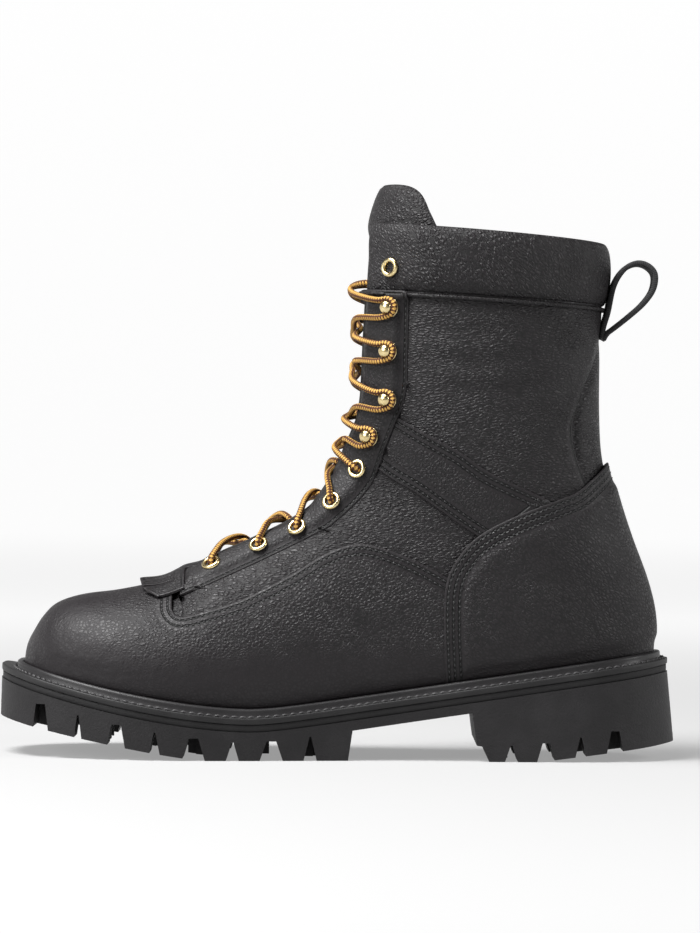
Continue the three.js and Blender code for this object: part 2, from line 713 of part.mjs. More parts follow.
// Tongue: a curved pad inside the throat, rising above the collar
const tongueInset = wall + gap * 4;
function tongue() {
  const across = 10;
  const along = 16;
  const under = [];
  for (let k = 0; k <= along; k++) {
    const v = k / along;
    const ring = [];
    const back = [];
    for (let i = 0; i <= across; i++) {
      const u = (2 * i) / across - 1;
      const top = lastStation - 0.15 - 1.3 * Math.abs(u) ** 3.2;
      const station = throatStation + 0.7 + (top - throatStation - 0.7) * v;
      const spread =
        0.62 + 0.2 * Math.min(v / 0.5, 1) + 0.33 * THREE.MathUtils.smoothstep(v, 0.5, 1);
      const angle = Math.PI - u * spread;
      const sink = THREE.MathUtils.smoothstep(station, seamStation - 3, seamStation);
      const inset = tongueInset + (padInside + gap * 2 - tongueInset + 0.9) * sink;
      const edge = 1 - 0.55 * Math.abs(u) ** 6;
      ring.push(formOffset(station, angle, -inset));
      back.push(formOffset(station, angle, -inset - tongueThickness * edge));
    }
    under.push([...ring, ...back.reverse()]);
  }
  return loft(under);
}

// Fringed flap that lies over the toe and under the facings
const kiltieFringe = [
  [0.786, 0.29], [0.81, 0.2], [0.815, 0.1], [0.815, 0], [0.812, -0.12], [0.806, -0.22], [0.784, -0.3],
];
function kiltie() {
  const rear = alongToX(0.712);
  const neck = alongToX(facingFront) - gap * 2;
  const narrow = throatHalf(throatStation) - gap * 3;
  const middle = formPoint(throatStation, Math.PI).y;
  const fringe = new THREE.SplineCurve(
    kiltieFringe.map(([along, across]) => new THREE.Vector2(alongToX(along), across * ballWidth)),
  ).getPoints(24);
  const first = fringe[0];
  const last = fringe[fringe.length - 1];
  const outline = [
    ...fringe,
    new THREE.Vector2(neck, last.y),
    new THREE.Vector2(neck, middle - narrow),
    new THREE.Vector2(rear, middle - narrow),
    new THREE.Vector2(rear, middle + narrow),
    new THREE.Vector2(neck, middle + narrow),
    new THREE.Vector2(neck, first.y),
  ];
  const low = overlay + gap * 1.5;
  let flap = form(low + kiltieThickness)
    .subtract(form(low))
    .intersect(topCutter(outline, ankleHeight * 0.5, reach));
  const pitch = (0.56 * ballWidth) / (fringeCuts + 1);
  for (let i = 0; i < fringeCuts; i++) {
    const y = (i - (fringeCuts - 1) / 2) * pitch;
    const tip = alongToX(0.83);
    const end = alongToX(0.765);
    flap = flap.subtract(
      topCutter([
        new THREE.Vector2(tip, y - 1.6),
        new THREE.Vector2(end, y - 0.3),
        new THREE.Vector2(end, y + 0.3),
        new THREE.Vector2(tip, y + 1.6),
      ]),
    );
  }
  return flap;
}

// Pull loop: a folded strap behind the collar, as shares of its own reach back and up
const loopReach = 25;
const loopRise = 35;
const loopPath = [
  [0.07, 0.27], [0.17, 0.64], [0.35, 0.86], [0.58, 0.95], [0.79, 0.92], [0.93, 0.8], [0.9, 0.6],
  [0.72, 0.41], [0.46, 0.24], [0.25, 0.1], [0.07, 0],
];
function pullLoop() {
  const root = formPoint(seamStation - 0.55, 0);
  const path = new THREE.SplineCurve(
    loopPath.map(
      ([back, up]) => new THREE.Vector2(root.x + padThickness * 0.2 + back * loopReach, root.z + up * loopRise),
    ),
  );
  const steps = 26;
  const rings = [];
  for (let k = 0; k <= steps; k++) {
    const p = path.getPoint(k / steps);
    const tangent = path.getTangent(k / steps);
    const [nx, nz] = [-tangent.y * (loopThickness / 2), tangent.x * (loopThickness / 2)];
    const y = loopWidth / 2;
    rings.push([
      new THREE.Vector3(p.x + nx, -y, p.y + nz),
      new THREE.Vector3(p.x + nx, y, p.y + nz),
      new THREE.Vector3(p.x - nx, y, p.y - nz),
      new THREE.Vector3(p.x - nx, -y, p.y - nz),
    ]);
  }
  return loft(rings)
    .subtract(collarKeepOut)
    .subtract(form(gap));
}

// Sole
function welt() {
  const clear = gap * 4;
  const profile = [
    [-weltLip, 0], [clear, 0], [clear, 0.82 * beadHeight], [clear + 0.3 * beadWidth, beadHeight],
    [clear + 0.75 * beadWidth, 0.8 * beadHeight], [clear + beadWidth, 0.1 * beadHeight],
  ];
  return loop(
    feather.map((p) => {
      const rim = soleRim(p);
      const points = profile.map(([out, rise]) => {
        const q = shifted(p, out);
        return new THREE.Vector3(q.x, q.y, weltTopZ(q.x) + rise);
      });
      points.push(new THREE.Vector3(rim.x, rim.y, weltTopZ(rim.x)));
      points.push(new THREE.Vector3(rim.x, rim.y, weltUnderZ(rim.x)));
      const inner = shifted(p, -weltLip);
      points.push(new THREE.Vector3(inner.x, inner.y, weltUnderZ(inner.x)));
      return points;
    }),
  );
}

const midsoleInset = -0.5;
const midsole = () =>
  slab(
    feather.map((p) => soleRim(p, midsoleInset)),
    midsoleTopZ,
    midsoleUnderZ,
  );

// The insole fills the welt's ring, and over that it lies inside the upper.
function insole() {
  const insideWelt = feather.map((p) => shifted(p, -(weltLip + gap * 2)));
  const insideUpper = edgeOutline(-(wall + gap * 8), weltTopZ);
  return slab(insideWelt, (x) => weltTopZ(x) - gap, weltUnderZ).add(
    slab(insideUpper, (x) => weltTopZ(x) + insoleThickness, (x) => weltTopZ(x) - gap * 2),
  );
}

// The tread's side view: toe spring, forefoot, waist, heel and its bevel
const treadFrontAlong = 0.71; // where the forefoot leaves the floor
const treadRearAlong = 0.485; // where the forefoot's tread stops
const treadRisePower = 1.2;
const toeTreadRise = 17.5;
const heelBreastSlope = 6; // how far the heel's front leans back over its height
const heelBevelAlong = 0.185;
function treadOutline() {
  const toe = alongToX(1) - toeOverhang;
  const front = alongToX(treadFrontAlong);
  const line = [new THREE.Vector2(-reach, toeTreadRise)];
  const steps = 8;
  for (let i = 0; i <= steps; i++) {
    const x = toe + ((front - toe) * i) / steps;
    line.push(new THREE.Vector2(x, toeTreadRise * ((front - x) / (front - toe)) ** treadRisePower));
  }
  const rear = alongToX(treadRearAlong);
  line.push(new THREE.Vector2(rear, 0));
  const breast = heelBackX + heelOverhang - heelLength;
  const waistSteps = 6;
  for (let i = 0; i <= waistSteps; i++) {
    const x = rear + 2 + ((breast - rear - 2) * i) / waistSteps;
    line.push(new THREE.Vector2(x, grooveTopZ(x)));
  }
  const heelHeight = grooveTopZ(breast);
  line.push(new THREE.Vector2(breast + heelBreastSlope * 0.35, heelHeight * 0.33));
  line.push(new THREE.Vector2(breast + heelBreastSlope * 0.8, heelHeight * 0.31));
  line.push(new THREE.Vector2(breast + heelBreastSlope * 1.3, 0));
  const bevel = alongToX(heelBevelAlong);
  line.push(new THREE.Vector2(bevel, 0));
  line.push(new THREE.Vector2(bevel + reach, reach * heelBevel));
  line.push(new THREE.Vector2(bevel + reach, -reach));
  line.push(new THREE.Vector2(-reach, -reach));
  return line;
}

// A groove in from one edge of the sole, wide or narrow, at a place along it
function groove(x, width, top, side, depthFromEdge) {
  const narrow = top * width;
  const height = grooveTopZ(x);
  const outline = [
    new THREE.Vector2(x - width / 2, -2),
    new THREE.Vector2(x - width / 2, 0),
    new THREE.Vector2(x - narrow / 2, height),
    new THREE.Vector2(x + narrow / 2, height),
    new THREE.Vector2(x + width / 2, 0),
    new THREE.Vector2(x + width / 2, -2),
  ];
  return side < 0
    ? sideCutter(outline, -reach, -depthFromEdge)
    : sideCutter(outline, depthFromEdge, reach);
}

const forefootGrooveAlong = 0.604; // middle of the rearmost wide groove
const heelGroovePitch = 32;
const heelGrooveAlong = 0.176;
const heelGrooveTop = 0.3;

// The forefoot's pocket inside the lugs of the rim, and the heel's
function pocket(fromAlong, toAlong) {
  const from = alongToX(fromAlong);
  const to = alongToX(toAlong);
  const rim = feather.map((p) => shifted(p, weltOverhang - rimDepth));
  const inside = rim.filter((p) => p.x > from && p.x < to);
  const outer = inside.filter((p) => p.y < 0).sort((a, b) => a.x - b.x);
  const inner = inside.filter((p) => p.y >= 0).sort((a, b) => b.x - a.x);
  return [...outer, ...inner];
}

const treadPocket = (outline) =>
  topCutter(outline).intersect(underLine(grooveTopZ));

function centreLug(x, y, size) {
  const height = grooveTopZ(x) + 1;
  const arm = size / 2;
  const half = size * 0.21;
  const cross = [
    [-arm, -half], [-half, -half], [-half, -arm], [half, -arm], [half, -half], [arm, -half],
    [arm, half], [half, half], [half, arm], [-half, arm], [-half, half], [-arm, half],
  ];
  return topCutter(
    cross.map(([dx, dy]) => new THREE.Vector2(x + dx, y + dy)),
    0,
    height,
  );
}

function outsole() {
  const rim = feather.map((p) => soleRim(p));
  const isHeel = (p) => xToAlong(p.x) < 0.3;
  const under = feather.map((p) => soleRim(p, isHeel(p) ? heelFlare : 0.8));
  let rubberBlock = slab(rim, outsoleTopZ, () => 0, under);
  const forefootPocket = treadPocket(pocket(0.93, treadRearAlong));
  const heelPocket = treadPocket(pocket(0.235, 0.06));
  rubberBlock = rubberBlock.subtract(forefootPocket).subtract(heelPocket);
  const lastGroove = alongToX(forefootGrooveAlong);
  const heelGroove = alongToX(heelGrooveAlong);
  const insideEdge = ballWidth * 0.13;
  for (const { side } of sides) {
    for (let i = -1; lastGroove - i * treadPitch > alongToX(1.0); i++) {
      const x = lastGroove - i * treadPitch;
      if (i >= 0) rubberBlock = rubberBlock.subtract(groove(x, wideGroove, grooveTaper, side, insideEdge));
      const between = x + treadPitch / 2;
      if (between < alongToX(treadRearAlong) - narrowGroove)
        rubberBlock = rubberBlock.subtract(groove(between, narrowGroove, 0.12, side, insideEdge));
    }
    for (let i = 0; i < 2; i++) {
      const x = heelGroove + i * heelGroovePitch;
      const scale = i === 0 ? 0.8 : 0.9;
      rubberBlock = rubberBlock
        .subtract(heelGrooveAt(x, wideGroove * scale, 0.4, side, insideEdge))
        .subtract(heelGrooveAt(x - heelGroovePitch / 2, narrowGroove, 0.12, side, insideEdge));
    }
  }
  const lugs = [];
  for (let i = 0; i < 6; i++) {
    const x = lastGroove + treadPitch * 0.45 - (i * treadPitch) / 1.45;
    if (i % 2 === 0) {
      lugs.push(centreLug(x, -centreLugSize * 0.85, centreLugSize));
      lugs.push(centreLug(x, centreLugSize * 0.85, centreLugSize));
    } else lugs.push(centreLug(x, 0, centreLugSize));
  }
  lugs.push(centreLug(heelGroove + heelGroovePitch * 0.4, 0, centreLugSize));
  return lugs
    .reduce((all, one) => all.add(one), rubberBlock)
    .subtract(sideCutter(treadOutline()));
}

// The heel's grooves are as deep as a third of the heel.
function heelGrooveAt(x, width, top, side, depthFromEdge) {
  const height = grooveTopZ(x) * heelGrooveTop + heelBevel * Math.max(0, x - alongToX(heelBevelAlong));
  const outline = [
    new THREE.Vector2(x - width / 2, -2),
    new THREE.Vector2(x - width / 2, 0),
    new THREE.Vector2(x - (top * width) / 2, height),
    new THREE.Vector2(x + (top * width) / 2, height),
    new THREE.Vector2(x + width / 2, 0),
    new THREE.Vector2(x + width / 2, -2),
  ];
  return side < 0
    ? sideCutter(outline, -reach, -depthFromEdge)
    : sideCutter(outline, depthFromEdge, reach);
}

// Fittings
function turned(profile, segments, at, normal) {
  const geometry = new THREE.LatheGeometry(
    profile.map(([r, h]) => new THREE.Vector2(r, h)),
    segments,
  );
  geometry.applyQuaternion(
    new THREE.Quaternion().setFromUnitVectors(new THREE.Vector3(0, 1, 0), normal),
  );
  geometry.translate(at.x, at.y, at.z);
  const solid = solidOf(geometry);
  return solid.volume() > 0 ? solid : solid.mirror([1, 0, 0]).mirror([1, 0, 0]);
}

// Height above the last at which a fitting's flange lies
const flangeSeat = overlay + facingLift + gap * 2;
const collarSeat = padThickness * 0.75;

function eyelet(row, side, seat) {
  const { at, normal } = lacingPoint(row, side, seat);
  const depth = seat + wall * 0.6;
  return turned(
    [
      [eyeletHole, -depth], [eyeletBarrel, -depth], [eyeletBarrel, 0], [eyeletRadius, 0],
      [(eyeletRadius + eyeletHole) / 2, eyeletRim], [eyeletHole, 0], [eyeletHole, -depth],
    ],
    9,
    at,
    normal,
  );
}

function hook(row, side) {
  const { at, normal } = lacingPoint(row, side, flangeSeat);
  return turned(
    [
      [0, 0], [eyeletRadius, 0], [hookNeckRadius, eyeletRim], [hookNeckRadius, hookHeight - 2],
      [hookHeadRadius, hookHeight - 1.4], [0, hookHeight],
    ],
    8,
    at,
    normal,
  );
}

// The place beside a fitting, towards the throat, where a lace leaves it
function laceTurn(row, side) {
  const spot = place(row.at);
  const { station, angle } = locate(spot.x, spot.y, side);
  const fitting = formOffset(station, angle, laceSeat);
  const away = eyeletRadius + laceDiameter / 2 + gap * 1.5;
  let turn = angle;
  while (formOffset(station, turn, laceSeat).distanceTo(fitting) < away)
    turn += Math.sign(Math.PI - angle) * 0.01;
  return { station, angle: turn };
}

// Laces: bars that cross over the tongue from row to row, joined where they meet
const laceSides = 6;
const barSteps = 3;
const laceSeat = overlay + facingLift + laceDiameter / 2 + gap * 6; // height above the last
function laces() {
  const circle = new THREE.Shape(
    Array.from({ length: laceSides }, (_, i) => {
      const a = ((i + 0.5) / laceSides) * 2 * Math.PI;
      return new THREE.Vector2(Math.cos(a), Math.sin(a)).multiplyScalar(laceDiameter / 2);
    }),
  );
  const bar = (from, to) => {
    const over = Array.from({ length: barSteps + 1 }, (_, i) =>
      formOffset(
        THREE.MathUtils.lerp(from.station, to.station, i / barSteps),
        THREE.MathUtils.lerp(from.angle, to.angle, i / barSteps),
        laceSeat,
      ),
    );
    const path = new THREE.CatmullRomCurve3(over);
    return solidOf(
      new THREE.ExtrudeGeometry(circle, { steps: barSteps, bevelEnabled: false, extrudePath: path }),
    );
  };
  const rows = lacingRows.slice(0, -1);
  const bars = [bar(laceTurn(rows[0], -1), laceTurn(rows[0], 1))];
  for (let i = 0; i + 1 < rows.length; i++)
    for (const { side } of sides)
      bars.push(bar(laceTurn(rows[i], side), laceTurn(rows[i + 1], -side)));
  return bars.reduce((all, one) => all.add(one));
}

const collarSolid = collar();
const collarKeepOut = collarSolid.add(collarSolid.translate([gap * 2, 0, 0]));

const boot = new THREE.Group();
const add = (solid, name, material) => boot.add(meshOf(solid, name, material));

add(upper(), "upper", leather);
add(heelCounter(), "heel_counter", smoothLeather);
const straps = ankleStraps();
const facings = eyestays();
for (const { side, name } of sides) {
  add(sideOf(straps, side), `ankle_strap_${name}`, leather);
  add(sideOf(facings, side), `eyestay_${name}`, smoothLeather);
}
add(collarSolid, "collar", leather);
add(tongue(), "tongue", leather);
add(kiltie(), "kiltie", leather);
add(pullLoop(), "pull_loop", webbing);
add(welt(), "welt", weltMaterial);
add(midsole(), "midsole", rubber);
add(outsole(), "outsole", rubber);
add(insole(), "insole", lining);
add(laces(), "laces", cord);
lacingRows.forEach((row, i) => {
  for (const { side, name } of sides) {
    const top = i === lacingRows.length - 1;
    const number = String(i + 1).padStart(2, "0");
    if (row.kind === "hook") add(hook(row, side), `hook_${name}_${number}`, brass);
    else
      add(
        eyelet(row, side, top ? collarSeat : flangeSeat),
        `eyelet_${name}_${number}`,
        brass,
      );
  }
});

const centre = new THREE.Box3().setFromObject(boot).getCenter(new THREE.Vector3());
boot.position.set(-centre.x, -centre.y, 0);

export default boot;
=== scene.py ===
"""Looks of a black leather work boot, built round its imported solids.

It is a left boot, with the toe towards -X and the outer side towards -Y. Lengths in the classes are
millimetres. Meshes are written in metres, in the same frame as the solids.
"""

import sys
import logging
import math
from dataclasses import dataclass, field
from enum import Enum
from typing import Callable, Optional, Sequence

import bmesh
import bpy
import numpy as np
from mathutils import Matrix, Vector


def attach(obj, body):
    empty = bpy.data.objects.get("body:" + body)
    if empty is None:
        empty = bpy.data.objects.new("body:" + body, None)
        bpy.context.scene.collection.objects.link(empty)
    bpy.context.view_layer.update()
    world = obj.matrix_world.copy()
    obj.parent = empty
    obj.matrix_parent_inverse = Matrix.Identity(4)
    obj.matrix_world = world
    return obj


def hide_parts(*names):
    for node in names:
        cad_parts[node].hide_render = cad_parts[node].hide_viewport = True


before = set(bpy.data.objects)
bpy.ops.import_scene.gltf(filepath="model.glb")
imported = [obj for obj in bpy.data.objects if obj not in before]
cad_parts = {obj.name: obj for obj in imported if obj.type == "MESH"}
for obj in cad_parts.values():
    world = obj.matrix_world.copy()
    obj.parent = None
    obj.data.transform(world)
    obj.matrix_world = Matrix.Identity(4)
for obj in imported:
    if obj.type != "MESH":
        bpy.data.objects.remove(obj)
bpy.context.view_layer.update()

log = logging.getLogger("work_boot")
Array = np.ndarray
Region = Callable[[Array, Array, Array], Array]

METRES = 0.001
BODY = "root"
SEED = 7


class Side(Enum):
    """Side of the boot, with the sign of its Y."""

    OUTER = -1
    INNER = 1

    @property
    def word(self) -> str:
        """The side as the node names spell it."""
        return self.name.lower()


class Fitting(Enum):
    """Kind of lacing fitting."""

    EYELET = "eyelet"
    HOOK = "hook"


def smooth(value: Array, low: float, high: float) -> Array:
    """Smooth step from 0 at low to 1 at high."""
    share = np.clip((np.asarray(value, float) - low) / (high - low), 0.0, 1.0)
    return share * share * (3.0 - 2.0 * share)


def curve_through(points: Sequence[Sequence[float]], count: int) -> Array:
    """Samples a uniform Catmull-Rom curve.

    Args:
        points: Places the curve passes, each with the same number of coordinates.
        count: Number of steps between the first place and the last.

    Returns:
        The sampled places, count + 1 rows.
    """
    known = np.asarray(points, float)
    last = len(known) - 1
    where = np.linspace(0.0, last, count + 1)
    i = np.minimum(where.astype(int), last - 1)
    f = (where - i)[:, None]
    a, b, c, d = (known[np.clip(i + k, 0, last)] for k in (-1, 0, 1, 2))
    return b + 0.5 * f * (c - a + f * (2 * a - 5 * b + 4 * c - d + f * (3 * (b - c) + d - a)))


def evenly(points: Array, pitch: float, start: float = 0.0) -> tuple[Array, Array]:
    """Places at an even pitch along a path.

    Args:
        points: The path's places.
        pitch: Distance from one place to the next.
        start: Distance of the first place from the path's start.

    Returns:
        Arc lengths of the places, and the arc length of every given point.
    """
    steps = np.linalg.norm(np.diff(points, axis=0), axis=1)
    run = np.concatenate([[0.0], np.cumsum(steps)])
    return np.arange(start, max(run[-1] - 1e-6, start + 1e-6), pitch), run


def along_path(run: Array, values: Array, at: Array) -> Array:
    """Values at arc lengths of a path, column by column."""
    return np.stack([np.interp(at, run, values[:, k]) for k in range(values.shape[1])], axis=1)


@dataclass
class Last:
    """Form that the boot is made over.

    Stations run from the toe, 0, over the ball and round the heel to the collar, 30. A share runs
    round a ring, from 0 at its base over the outer side to 0.5 at the crest, and back to 1.
    """

    length: float = 295.0
    ball_width: float = 101.0
    ankle_height: float = 125.0
    collar_height: float = 250.0
    heel_back: float = 148.5
    toe_dome: float = 0.6
    rows: Array = field(default_factory=lambda: np.array([
        (.996, .3, .996, .357, .07, .07, .5, 2.1, 2.1), (.9915, .272, .992, .399, .17, .066, .46, 2.4, 2.2),
        (.981, .254, .982, .444, .252, .06, .43, 2.7, 2.3), (.9655, .236, .967, .501, .325, .054, .4, 3, 2.35),
        (.945, .218, .946, .547, .39, .044, .38, 3.2, 2.35), (.905, .2, .907, .577, .444, .03, .36, 3.3, 2.3),
        (.849, .175, .851, .596, .483, .014, .34, 3.4, 2.2), (.793, .154, .795, .627, .498, 0, .32, 3.4, 2.05),
        (.741, .137, .748, .679, .495, -.009, .3, 3.4, 1.95), (.697, .122, .703, .754, .48, -.013, .29, 3.4, 1.88),
        (.645, .112, .65, .818, .458, -.016, .29, 3.4, 1.84), (.586, .118, .592, .89, .428, -.018, .3, 3.4, 1.84),
        (.514, .15, .554, .946, .398, -.018, .31, 3.4, 2.0), (.427, .186, .539, .986, .376, -.014, .33, 3.4, 2.2),
        (.324, .218, .528, 1.024, .36, -.01, .35, 3.4, 2.4), (.212, .254, .52, 1.061, .354, -.005, .37, 3.3, 2.5),
        (.101, .284, .513, 1.094, .352, 0, .4, 2.9, 2.55), (.042, .301, .5095, 1.112, .352, 0, .42, 2.5, 2.6),
        (.0125, .35, .5065, 1.128, .353, 0, .43, 2.25, 2.6), (.0055, .44, .5035, 1.146, .355, 0, .44, 2.12, 2.6),
        (.0075, .546, .499, 1.172, .36, 0, .45, 2.08, 2.6), (.0205, .666, .4955, 1.198, .366, 0, .46, 2.06, 2.55),
        (.0455, .822, .4905, 1.234, .374, 0, .47, 2.05, 2.5), (.0665, .972, .486, 1.28, .383, 0, .48, 2.05, 2.4),
        (.083, 1.122, .483, 1.36, .394, 0, .49, 2.05, 2.3), (.088, 1.284, .4825, 1.464, .403, 0, .5, 2.05, 2.2),
        (.0885, 1.488, .4815, 1.592, .412, 0, .5, 2.05, 2.1), (.088, 1.692, .479, 1.74, .418, 0, .5, 2.05, 2.05),
        (.0865, 1.808, .476, 1.864, .421, 0, .5, 2.05, 2), (.086, 1.92, .473, 1.988, .422, 0, .5, 2.05, 2),
        (.083, 2.072, .439, 2.164, .412, 0, .5, 2.05, 2)]))
    low_station: int = 18
    throat_station: float = 8.0
    shaft_station: float = 25.0
    seam_station: float = 27.0
    collar_station: float = 29.0
    last_station: float = 30.0
    table_step: float = 0.05
    table_shares: int = 240
    share_nudge: float = 0.004
    station_nudge: float = 0.05

    def __post_init__(self) -> None:
        """Tabulates, for every station, the angle at even shares of half a ring."""
        u = np.linspace(0.0, math.pi, 241)
        quarter = 0.25 * math.pi * (1.0 - np.cos(u))
        angles = np.concatenate([quarter, 0.5 * math.pi + quarter[1:]])
        self.stations = np.arange(-1.0, self.last_station + self.table_step / 2, self.table_step)
        shares = np.linspace(0.0, 1.0, self.table_shares + 1)
        table = []
        for station in self.stations:
            ring = self.point(np.full(len(angles), station), angles)
            steps = np.linalg.norm(np.diff(ring, axis=0), axis=1) + 1e-9
            run = np.concatenate([[0.0], np.cumsum(steps)])
            table.append(np.interp(shares * run[-1], run, angles))
        self.table = np.array(table)

    def x(self, along: Array) -> Array:
        """Distance along the boot of a share of its length from the heel."""
        return self.heel_back - np.asarray(along, float) * self.length

    def along(self, x: Array) -> Array:
        """Share of the length from the heel at an x."""
        return (self.heel_back - np.asarray(x, float)) / self.length

    def z(self, up: Array) -> Array:
        """Height of a share that is 1 at the ankle and 2 at the collar."""
        up = np.asarray(up, float)
        upper = self.ankle_height + (up - 1.0) * (self.collar_height - self.ankle_height)
        return np.where(up <= 1.0, up * self.ankle_height, upper)

    def side_view(self, shares: Sequence[Sequence[float]]) -> Array:
        """Places in x and z of side-view shares."""
        known = np.asarray(shares, float)
        return np.stack([self.x(known[:, 0]), self.z(known[:, 1])], axis=1)

    def section(self, station: Array) -> Array:
        """The nine values of a ring at any station, by a Catmull-Rom curve through the rows."""
        top = len(self.rows) - 1
        t = np.clip(station, 0.0, top)
        i = np.minimum(t.astype(int), top - 1)
        f = (t - i)[..., None]
        a, b, c, d = (self.rows[np.clip(i + k, 0, top)] for k in (-1, 0, 1, 2))
        return b + 0.5 * f * (c - a + f * (2 * a - 5 * b + 4 * c - d + f * (3 * (b - c) + d - a)))

    def point(self, station: Array, angle: Array) -> Array:
        """Places on the last.

        Args:
            station: Station of each place. Under 0 the toe closes to a point at -1.
            angle: Angle round the ring, 0 at the base and half a turn at the crest.

        Returns:
            The places, one row each.
        """
        station, angle = np.asarray(station, float), np.asarray(angle, float)
        s = self.section(station)
        cos, sin = np.cos(angle), np.sin(angle)
        power = 2.0 / np.where(cos > 0.0, s[..., 7], s[..., 8])
        rise = np.abs(cos) ** power
        mid = s[..., 6]
        f = np.where(cos > 0.0, mid * (1.0 - rise), mid + (1.0 - mid) * rise)
        y = s[..., 5] - s[..., 4] * np.sign(sin) * np.abs(sin) ** power
        base = np.stack([self.x(s[..., 0]), self.z(s[..., 1])], axis=-1)
        crest = np.stack([self.x(s[..., 2]), self.z(s[..., 3])], axis=-1)
        side = base + (crest - base) * f[..., None]
        made = np.stack([side[..., 0], y * self.ball_width, side[..., 1]], axis=-1)
        shrink = np.clip(1.0 + station, 0.0, 1.0)[..., None]
        heart = np.stack([(base[..., 0] + crest[..., 0]) / 2, s[..., 5] * self.ball_width,
                          (base[..., 1] + crest[..., 1]) / 2], axis=-1)
        made = heart + (made - heart) * shrink
        made[..., 0] -= self.toe_dome * (1.0 - shrink[..., 0] ** 2)
        return made

    def angle(self, station: Array, share: Array) -> Array:
        """Angle of a share of the ring's length."""
        share = np.mod(share, 1.0)
        half = np.where(share > 0.5, 1.0 - share, share) * 2.0 * self.table_shares
        row = np.clip((np.asarray(station, float) + 1.0) / self.table_step, 0, len(self.stations) - 1.001)
        i, j = row.astype(int), np.minimum(half.astype(int), self.table_shares - 1)
        fi, fj = row - i, half - j
        t = self.table
        low = t[i, j] * (1 - fj) + t[i, j + 1] * fj
        high = t[i + 1, j] * (1 - fj) + t[i + 1, j + 1] * fj
        angle = low * (1 - fi) + high * fi
        return np.where(share > 0.5, 2.0 * math.pi - angle, angle)

    def share(self, station: Array, angle: Array) -> Array:
        """Share of the ring's length at an angle, place by place."""
        station, angle = np.atleast_1d(station), np.atleast_1d(angle)
        shares = np.linspace(0.0, 0.5, self.table_shares + 1)
        rows = np.clip(np.rint((station + 1.0) / self.table_step).astype(int), 0, len(self.stations) - 1)
        half = np.where(angle > math.pi, 2.0 * math.pi - angle, angle)
        found = np.array([np.interp(a, self.table[r], shares) for a, r in zip(half, rows)])
        return np.where(angle > math.pi, 1.0 - found, found)

    def bare(self, station: Array, share: Array) -> Array:
        """Places on the last at shares of its rings."""
        return self.point(station, self.angle(station, share))

    def tangents(self, station: Array, share: Array) -> tuple[Array, Array]:
        """How a place moves with its station and with its share."""
        dt, dv = self.station_nudge, self.share_nudge
        low, high = np.maximum(station - dt, -1.0), np.minimum(station + dt, self.last_station)
        along = (self.bare(high, share) - self.bare(low, share)) / (high - low)[..., None]
        around = (self.bare(station, share + dv) - self.bare(station, share - dv)) / (2 * dv)
        return along, around

    def normal(self, station: Array, share: Array) -> Array:
        """Outward unit normals."""
        along, around = self.tangents(np.maximum(station, -0.9), share)
        normal = np.cross(along, around)
        return normal / np.maximum(np.linalg.norm(normal, axis=-1, keepdims=True), 1e-9)

    def skin(self, station: Array, share: Array, height: Array = 0.0) -> Array:
        """Places a height above the last."""
        station, share = np.asarray(station, float), np.asarray(share, float)
        height = np.broadcast_to(np.asarray(height, float), station.shape)
        return self.bare(station, share) + self.normal(station, share) * height[..., None]

    def locate(self, x: Array, z: Array, side: Side) -> tuple[Array, Array]:
        """Station and share of side-view places.

        Args:
            x: Distance along the boot of each place.
            z: Height of each place.
            side: Side of the boot the places are on.

        Returns:
            The stations and the shares.
        """
        x, z = np.atleast_1d(x).astype(float), np.atleast_1d(z).astype(float)

        def ends(t: Array) -> tuple[Array, Array, Array]:
            """Base and crest of the ring, and its section."""
            s = self.section(t)
            base = np.stack([self.x(s[:, 0]), self.z(s[:, 1])], axis=1)
            return base, np.stack([self.x(s[:, 2]), self.z(s[:, 3])], axis=1), s

        def across(t: Array) -> Array:
            """Which side of the ring's line a place is on."""
            base, crest, _ = ends(t)
            way = crest - base
            return way[:, 0] * (z - base[:, 1]) - way[:, 1] * (x - base[:, 0])

        low, high = np.zeros(len(x)), np.full(len(x), self.last_station)
        sign = np.sign(across(low))
        for _ in range(40):
            middle = (low + high) / 2
            same = np.sign(across(middle)) == sign
            low, high = np.where(same, middle, low), np.where(same, high, middle)
        station = (low + high) / 2
        base, crest, s = ends(station)
        f = np.hypot(x - base[:, 0], z - base[:, 1]) / np.hypot(*(crest - base).T)
        under = f < s[:, 6]
        part = np.where(under, 1 - f / s[:, 6], (f - s[:, 6]) / (1 - s[:, 6]))
        cos = np.clip(part, 0.0, 1.0) ** (np.where(under, s[:, 7], s[:, 8]) / 2)
        angle = np.where(under, np.arccos(cos), math.pi - np.arccos(cos))
        share = self.share(station, angle)
        return station, share if side is Side.OUTER else 1.0 - share

    def slide(self, region: Region, station: Array, share: Array, level: float = 0.0,
              rounds: int = 8) -> tuple[Array, Array]:
        """Moves places along the last until a region's distance has a level.

        Args:
            region: Distance of places from an edge.
            station: Stations to start from.
            share: Shares to start from.
            level: Distance wanted, in millimetres along the last.
            rounds: Number of steps.

        Returns:
            The new stations and shares.
        """
        t, v = np.array(station, float), np.array(share, float)
        for _ in range(rounds):
            value, slope, dt, dv = self.slope(region, t, v)
            miss = np.clip(level - value / slope, -4.0, 4.0)
            t = np.clip(t + dt * miss, -1.0, self.last_station)
            v = v + dv * miss
        return t, v

    def slope(self, region: Region, t: Array, v: Array) -> tuple[Array, Array, Array, Array]:
        """A region's distance, how fast it grows along the last, and the step that grows it by one."""
        def value(a: Array, b: Array) -> Array:
            """The region's distance at places."""
            return region(self.bare(a, b), a, b)

